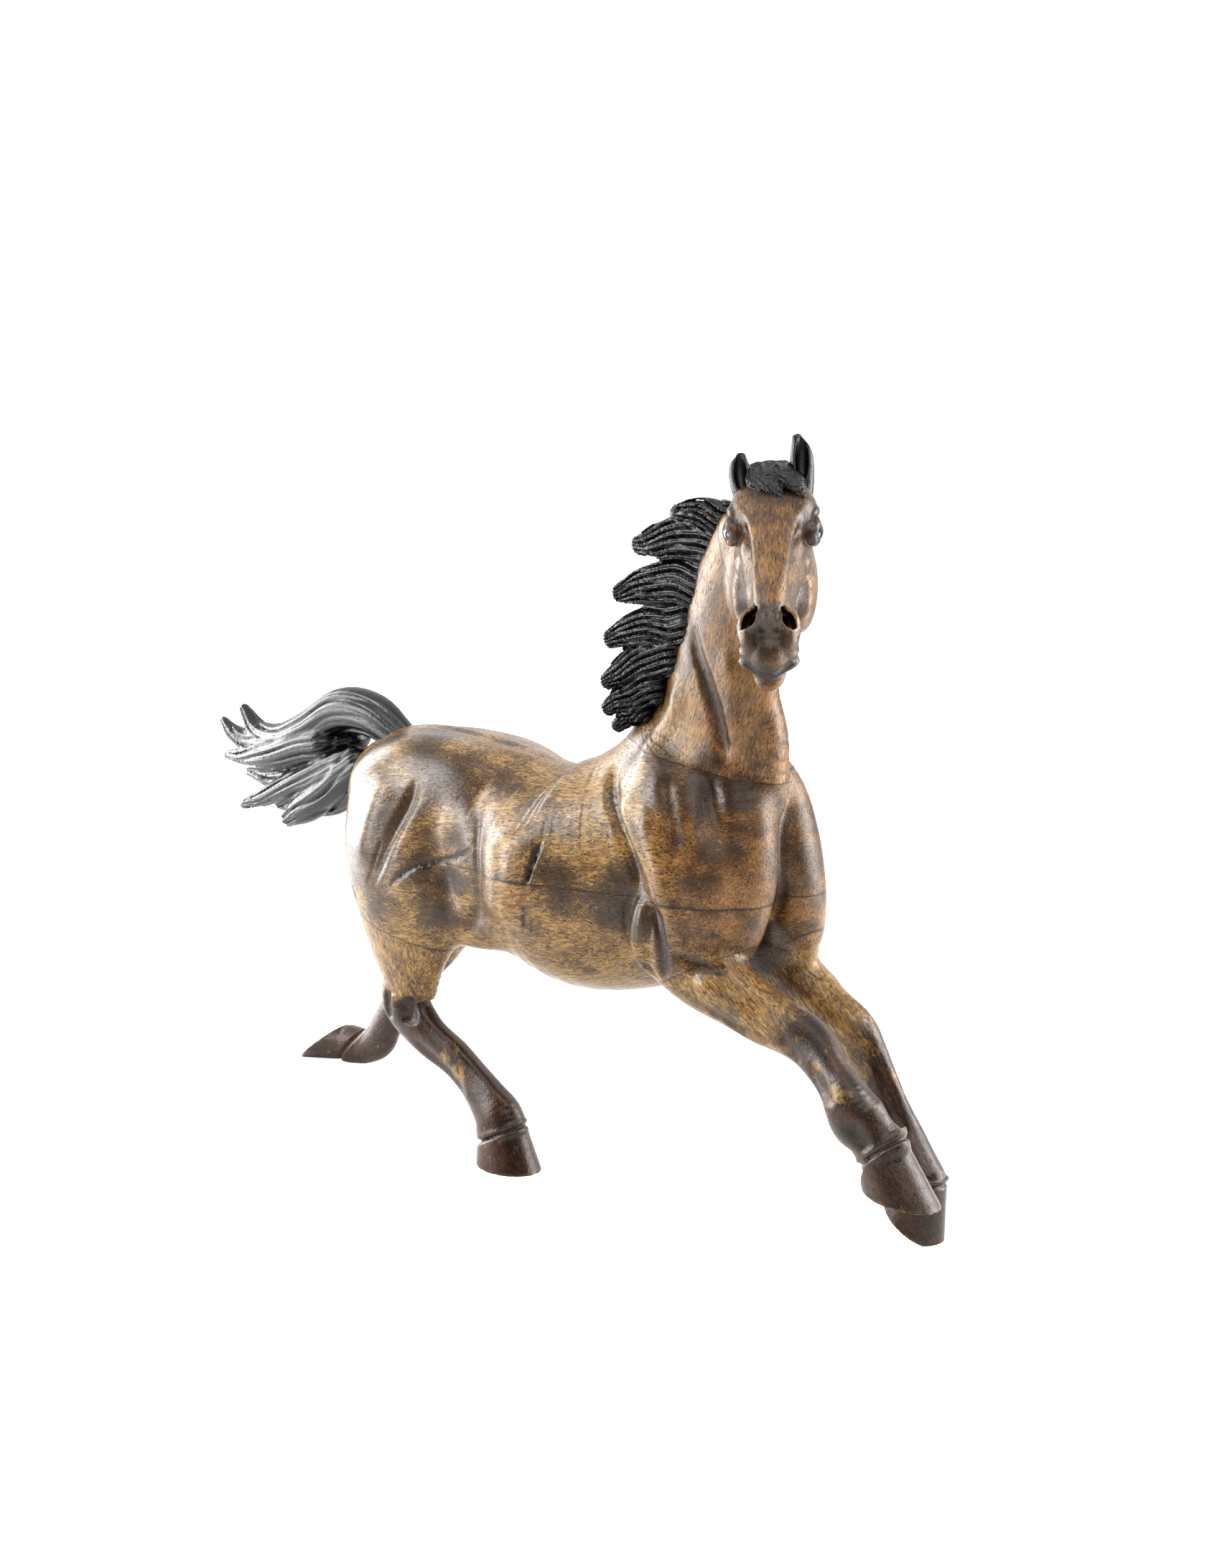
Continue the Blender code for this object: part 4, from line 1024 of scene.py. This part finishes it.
def wood(name, grain, seed):
    """Stained and lacquered wood with open pores, its grain running one way."""
    material = bpy.data.materials.new(name)
    n = Nodes(material)
    place = n.add("Mapping", Vector=n.add("TexCoord").outputs["Object"])
    place.inputs["Rotation"].default_value = way(grain).to_track_quat("X", "Z").inverted().to_euler()
    place.inputs["Location"].default_value = (0.013 * seed, 0.029 * seed, 0.017 * seed)
    drift = n.add("TexNoise", Vector=place.outputs[0], Scale=1 / DRIFT_SIZE, Detail=1.0)
    warp = n.add("VectorMath", {"operation": "MULTIPLY_ADD"})
    n.plug(warp.inputs[0], drift.outputs["Color"])
    warp.inputs[1].default_value = (DRIFT, DRIFT, DRIFT)
    n.plug(warp.inputs[2], place.outputs[0])
    p = warp.outputs[0]

    streak = n.noise(n.stretched(p, 7), 1.3, 6, 0.7)
    fleck = n.noise(n.stretched(p, 3.5, 0.3), 0.7, 4, 0.7)
    scratch = n.noise(n.stretched(p, 14, 0.7), 0.5, 2, 0.6)
    band = n.noise(n.stretched(p, 4, 0.1), 8, 5, 0.65)
    mottle = n.noise(n.stretched(p, 1.6, 0.2), 12, 9, 0.7)
    cloud = n.noise(p, 30, 5, 0.62)
    rubbed = n.noise(n.stretched(p, 1.6, 0.9), 7, 6, 0.68)
    pore = n.step(n.noise(n.stretched(p, 4, 0.5), 0.9, 2, 0.5), 0.61, 0.66)
    pore = n.times(pore, n.step(n.noise(p, 9, 3), 0.30, 0.50))

    # The first channel read here carries real stain and painted shade: in hollows, in cracks and notches, and
    # under the forelock.
    stain_and_shade, worn, leg = n.channel("stain_and_shade"), n.channel("worn"), n.channel("leg")
    warm, black, grey = n.channel("warm"), n.channel("black"), n.channel("grey")
    amount = n.plus(n.swing(mottle, 1.1), n.swing(cloud, 1.0), n.swing(band, 0.5), n.times(stain_and_shade, 0.8))
    speck = n.plus(n.swing(fleck, 1.5), n.swing(scratch, 1.0), n.times(amount, 0.9))
    bare = n.step(n.plus(rubbed, n.times(n.rest(leg), 0.25)), 0.60, 0.68)
    covered = n.times(n.step(leg, 0.1, 0.6), n.rest(n.times(bare, 0.9)))
    brown = n.mix(n.step(n.plus(mottle, n.swing(fleck, 1.0)), 0.46, 0.62), LEG_BROWN, LEG_RED)

    color = n.mix(n.step(streak, 0.40, 0.62), OCHRE, LIGHT_OCHRE)
    for where, strength, paint in (
        (warm, 0.5, RED_BROWN),
        (n.step(amount, -0.06, 0.45), 0.62, UMBER),
        (n.step(speck, 0.03, 0.22), 0.72, UMBER),
        (n.step(speck, 0.26, 0.80), 0.85, DEEP_UMBER),
        (leg, 0.35, UMBER),
        (covered, 0.92, brown),
        (n.step(scratch, 0.56, 0.66), 0.5, UMBER),
        (worn, 0.2, LIGHT_OCHRE),
        (pore, 0.95, DEEP_UMBER),
        (grey, 0.9, LIP_GREY),
        (black, 1.0, NEARLY_BLACK),
    ):
        color = n.mix(n.times(where, strength), color, paint)
    n.plug(n.shader.inputs["Base Color"], color)

    rough = n.plus(0.36, n.times(pore, 0.25), n.swing(fleck, 0.3))
    n.plug(n.shader.inputs["Roughness"], n.math("SUBTRACT", rough, n.times(black, 0.26), True))
    n.shader.inputs["Specular IOR Level"].default_value = 0.2
    n.shader.inputs["Coat Weight"].default_value = 0.9
    n.shader.inputs["Coat IOR"].default_value = 1.55
    n.shader.inputs["Coat Roughness"].default_value = 0.17

    height = n.plus(n.times(pore, -1.0), n.times(streak, 0.7), n.times(fleck, 0.9), n.times(mottle, 1.2))
    height = n.times(height, n.rest(black, True))
    bump = n.add("Bump", Strength=0.55, Distance=BUMP, Height=height)
    n.plug(n.shader.inputs["Normal"], bump.outputs[0])
    n.plug(n.shader.inputs["Coat Normal"], bump.outputs[0])
    return material


def lacquer(name, seed, least_rough, gloss):
    """Black lacquer over brushed, carved hair, rubbed brown on its ridges."""
    material = bpy.data.materials.new(name)
    n = Nodes(material)
    place = n.add("Mapping", Vector=n.add("TexCoord").outputs["Object"])
    place.inputs["Location"].default_value = (0.011 * seed, 0.019 * seed, 0.023 * seed)
    p = place.outputs[0]
    grit = n.noise(p, 0.8, 4, 0.65)
    cloud = n.noise(p, 7, 5, 0.6)
    rub = n.step(n.plus(n.times(n.channel("worn"), 0.35), cloud), 0.60, 0.85)
    color = n.mix(n.step(grit, 0.4, 0.7), LACQUER_BLACK, LACQUER_GREY)
    n.plug(n.shader.inputs["Base Color"], n.mix(n.times(rub, 0.5), color, RUBBED_LACQUER))
    rough = n.plus(least_rough, n.times(grit, 0.18), n.times(n.channel("stain_and_shade"), 0.45))
    n.plug(n.shader.inputs["Roughness"], rough)
    n.shader.inputs["Specular IOR Level"].default_value = gloss
    bump = n.add("Bump", Strength=0.6, Distance=BUMP, Height=n.plus(grit, n.times(cloud, 2.0)))
    n.plug(n.shader.inputs["Normal"], bump.outputs[0])
    return material


def dowel_wood():
    """Plain turned beech, for the dowels inside."""
    material = bpy.data.materials.new("dowel_beech")
    n = Nodes(material)
    drawn_out = n.add("Mapping", Vector=n.add("TexCoord").outputs["Object"])
    drawn_out.inputs["Scale"].default_value = (1, 1, 0.15)
    streak = n.noise(drawn_out.outputs[0], 0.8, 4, 0.6)
    n.plug(n.shader.inputs["Base Color"], n.mix(n.step(streak, 0.35, 0.7), BEECH, LIGHT_BEECH))
    n.shader.inputs["Roughness"].default_value = 0.6
    bump = n.add("Bump", Strength=0.3, Distance=0.1 * MM, Height=streak)
    n.plug(n.shader.inputs["Normal"], bump.outputs[0])
    return material


def put_in_place(piece, node, material):
    """Puts a finished piece in place of its CAD node."""
    piece.data.materials.clear()
    piece.data.materials.append(material)
    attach(piece, "root")
    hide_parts(node)


def painted_skin(forms, lines, box, paint=painted):
    v, q = carve(forms, lines, *box)
    return v, q, paint(v, q, lines)


def carve_body():
    """The wooden blocks, by the CAD node that each one replaces."""
    forms = body_forms() + head_forms()
    lines = body_lines(forms)
    trunk = painted_skin(forms, lines, TRUNK_BOX)
    neck = painted_skin(forms, lines, NECK_BOX)
    head = painted_skin(forms, lines, HEAD_BOX, head_paint)
    leg_cuts = [(joint, part) for joint, _, _, part in LOWER_LEGS.values()]
    pieces = {
        "trunk_upper": block("carved_upper_trunk", trunk, [TRUNK_JOINT, flipped(NECK_JOINT)]),
        "trunk_lower": block("carved_lower_trunk", trunk, [flipped(TRUNK_JOINT)], leg_cuts),
        "neck": block("carved_neck", neck, [NECK_JOINT, flipped(HEAD_JOINT)]),
        "head": block("carved_head", head, [HEAD_JOINT]),
    }
    for name, (joint, lo, hi, _) in LOWER_LEGS.items():
        leg = painted_skin(forms, lines, (lo, hi, LEG_STEP))
        pieces[name] = block("carved_" + name, leg, [joint, FLOOR_CUT])
    return pieces


def trim(name, forms, margin, step, stain_gain, wear_gain):
    """A lacquered piece of the given forms."""
    shown = [f for f in forms if not f.cut]
    lo, hi = np.min([f.lo for f in shown], 0) - margin, np.max([f.hi for f in shown], 0) + margin
    v, q = carve(forms, [], lo, hi, step)
    bend = hollow(v, q, 2)
    channels = {"stain_and_shade": np.clip(bend * stain_gain, 0, 1), "worn": np.clip(-bend * wear_gain, 0, 1)}
    mesh = bmesh.new()
    mesh.from_mesh(mesh_of(name, v, q, channels))
    return finished(name, mesh)


def hair_piece(name, locks, step, strands, groove, blend):
    forms = [Tube(rows, blend=blend, strands=strands, groove=groove) for rows in locks]
    return trim(name, forms, 2 * step, step / COARSE**0.5, 4, 2)


def head_trim(name, locks, strands=0, groove=0, hollows=()):
    forms = [Tube(on_head(rows), ACROSS_HEAD, 1.5, strands, groove) for rows in locks]
    forms += [head_egg(centre, radii, along, 1.0, True) for centre, radii, along in hollows]
    return trim(name, forms, 1, TRIM_STEP, 3, 1)


def carve_trims():
    """The hair and the ears, by the CAD node that each one replaces."""
    return {
        "mane": hair_piece("carved_mane", MANE_LOCKS, MANE_STEP, 6, 2.3, 2.5),
        "tail": hair_piece("carved_tail", TAIL_LOCKS, TAIL_STEP, 3, 1.6, 3),
        "forelock": head_trim("carved_forelock", FORELOCK_LOCKS, 5, 1.3),
        "ear_right": head_trim("carved_ear_right", [EAR_RIGHT], hollows=[EAR_HOLLOW_RIGHT]),
        "ear_left": head_trim("carved_ear_left", [EAR_LEFT], hollows=[EAR_HOLLOW_LEFT]),
    }


# The way that the grain runs in each block, as (forward, left, up).
GRAIN = {
    "head": (0.49, -0.67, -0.55), "neck": (0.35, -0.1, 0.93), "trunk_upper": (1, 0.05, 0.12),
    "trunk_lower": (1, 0, 0.06), "foreleg_right": (0.8, -0.1, -0.55), "foreleg_left": (0.65, 0, -0.75),
    "hindleg_right": (0.3, 0, -0.95), "hindleg_left": (-0.6, 0, -0.8),
}


def dress():
    """Puts the carved pieces in place, and gives every piece its material."""
    for seed, (node, piece) in enumerate(carve_body().items(), 1):
        put_in_place(piece, node, wood(node + "_wood", GRAIN[node], seed))
    for seed, (node, piece) in enumerate(carve_trims().items(), 1):
        shine = (0.12, 1.0) if node == "tail" else (0.11, 0.7)
        put_in_place(piece, node, lacquer(node + "_lacquer", seed, *shine))
    beech = dowel_wood()
    for name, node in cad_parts.items():
        if "dowel" in name:
            node.data.materials.clear()
            node.data.materials.append(beech)


# The camera: azimuth from the horse's front towards its right side, height, distance, aim.
CAMERA_AZIMUTH, CAMERA_ELEVATION, CAMERA_DISTANCE = 48.0, 10.3, 1172.0
CAMERA_RIGHT, CAMERA_UP = 14.4, 212.0
CAMERA_LENS, CAMERA_SENSOR = 50, 36

# Lamps: name; its direction to the camera's right, back towards the camera, and up; distance in
# millimetres; width and height in metres; power in watts.
LAMPS = [
    ("box_left", (-1, -0.62, 0.25), 1000, (0.55, 1.1), 10),
    ("key_left", (-1, 0.18, 0.30), 1000, (0.25, 0.9), 6),
    ("box_right", (1, 0.12, 0.30), 1000, (0.65, 1.1), 12),
    ("box_front", (0.10, 1, 0.85), 1400, (1.5, 1.2), 9.5),
    ("box_top", (-0.2, 0.2, 1), 1100, (0.6, 0.3), 1.5),
]
LAMPS_AIM = np.array((0, 0, 190))
FLOOR_HALF = 12.0
FLOOR_SEEN, FLOOR_BOUNCE, FLOOR_GLOW = (0.93, 0.93, 0.93), (0.8, 0.8, 0.8), 0.62
BACKDROP_STRENGTH = 1.05


def camera_axes():
    a, e = math.radians(CAMERA_AZIMUTH), math.radians(CAMERA_ELEVATION)
    right = np.array((math.sin(a), math.cos(a), 0))
    back = np.array((math.cos(a) * math.cos(e), -math.sin(a) * math.cos(e), math.sin(e)))
    return right, back


def make_camera():
    right, back = camera_axes()
    aim = right * CAMERA_RIGHT + (0, 0, CAMERA_UP)
    data = bpy.data.cameras.new("camera")
    data.lens, data.sensor_width = CAMERA_LENS, CAMERA_SENSOR
    data.clip_start, data.clip_end = 0.05, 50
    camera = bpy.data.objects.new("camera", data)
    camera.location = at(aim + back * CAMERA_DISTANCE)
    camera.rotation_euler = (-way(back)).to_track_quat("-Z", "Y").to_euler()
    bpy.context.scene.collection.objects.link(camera)
    bpy.context.scene.camera = camera


def make_lamps():
    right, back = camera_axes()
    for name, (across, nearer, up), distance, size, power in LAMPS:
        direction = unit(right * across + back * nearer + (0, 0, up))
        data = bpy.data.lights.new(name, "AREA")
        data.shape, data.size, data.size_y, data.energy = "RECTANGLE", *size, power
        lamp = bpy.data.objects.new(name, data)
        lamp.location = at(LAMPS_AIM + direction * distance)
        lamp.rotation_euler = way(direction).to_track_quat("Z", "Y").to_euler()
        bpy.context.scene.collection.objects.link(lamp)
    view = bpy.context.scene.view_settings
    view.view_transform, view.look = "Standard", "High Contrast"


def make_stage():
    """A white floor that looks lit from below to the camera, and bounces a little less light."""
    mesh = bpy.data.meshes.new("floor")
    corners = [(x * FLOOR_HALF, y * FLOOR_HALF, 0) for x, y in ((-1, -1), (1, -1), (1, 1), (-1, 1))]
    mesh.from_pydata(corners, [], [(0, 1, 2, 3)])
    floor = bpy.data.objects.new("floor", mesh)
    floor.location.z = -0.1 * MM
    material = bpy.data.materials.new("floor_white")
    n = Nodes(material)
    n.shader.inputs["Roughness"].default_value = 0.9
    n.shader.inputs["Specular IOR Level"].default_value = 0.0
    n.shader.inputs["Emission Color"].default_value = (1, 1, 1, 1)
    seen = n.add("LightPath").outputs["Is Camera Ray"]
    n.plug(n.shader.inputs["Emission Strength"], n.times(seen, FLOOR_GLOW))
    n.plug(n.shader.inputs["Base Color"], n.mix(seen, FLOOR_BOUNCE, FLOOR_SEEN))
    mesh.materials.append(material)
    bpy.context.scene.collection.objects.link(floor)


def make_world():
    """White behind the horse and to its sides, dimmer where the camera stands, so that rims shine."""
    world = bpy.data.worlds.new("studio")
    bpy.context.scene.world = world
    world.use_nodes = True
    tree = world.node_tree
    add = tree.nodes.new
    output = tree.nodes["World Output"]
    seen, around = tree.nodes["Background"], add("ShaderNodeBackground")
    seen.inputs["Color"].default_value = (1, 1, 1, 1)
    seen.inputs["Strength"].default_value = BACKDROP_STRENGTH
    coordinates, dot = add("ShaderNodeTexCoord"), add("ShaderNodeVectorMath")
    dot.operation = "DOT_PRODUCT"
    _, back = camera_axes()
    dot.inputs[1].default_value = way(back)
    tree.links.new(coordinates.outputs["Generated"], dot.inputs[0])
    fade = add("ShaderNodeMapRange")
    fade.interpolation_type = "SMOOTHSTEP"
    tree.links.new(dot.outputs["Value"], fade.inputs["Value"])
    for key, value in (("From Min", -0.1), ("From Max", 0.7), ("To Min", 0.75), ("To Max", 0.05)):
        fade.inputs[key].default_value = value
    tree.links.new(fade.outputs[0], around.inputs["Strength"])
    around.inputs["Color"].default_value = (1, 1, 1, 1)
    path, mix = add("ShaderNodeLightPath"), add("ShaderNodeMixShader")
    tree.links.new(path.outputs["Is Camera Ray"], mix.inputs[0])
    tree.links.new(around.outputs[0], mix.inputs[1])
    tree.links.new(seen.outputs[0], mix.inputs[2])
    tree.links.new(mix.outputs[0], output.inputs[0])


def main():
    make_camera()
    dress()
    make_stage()
    make_world()
    make_lamps()


main()
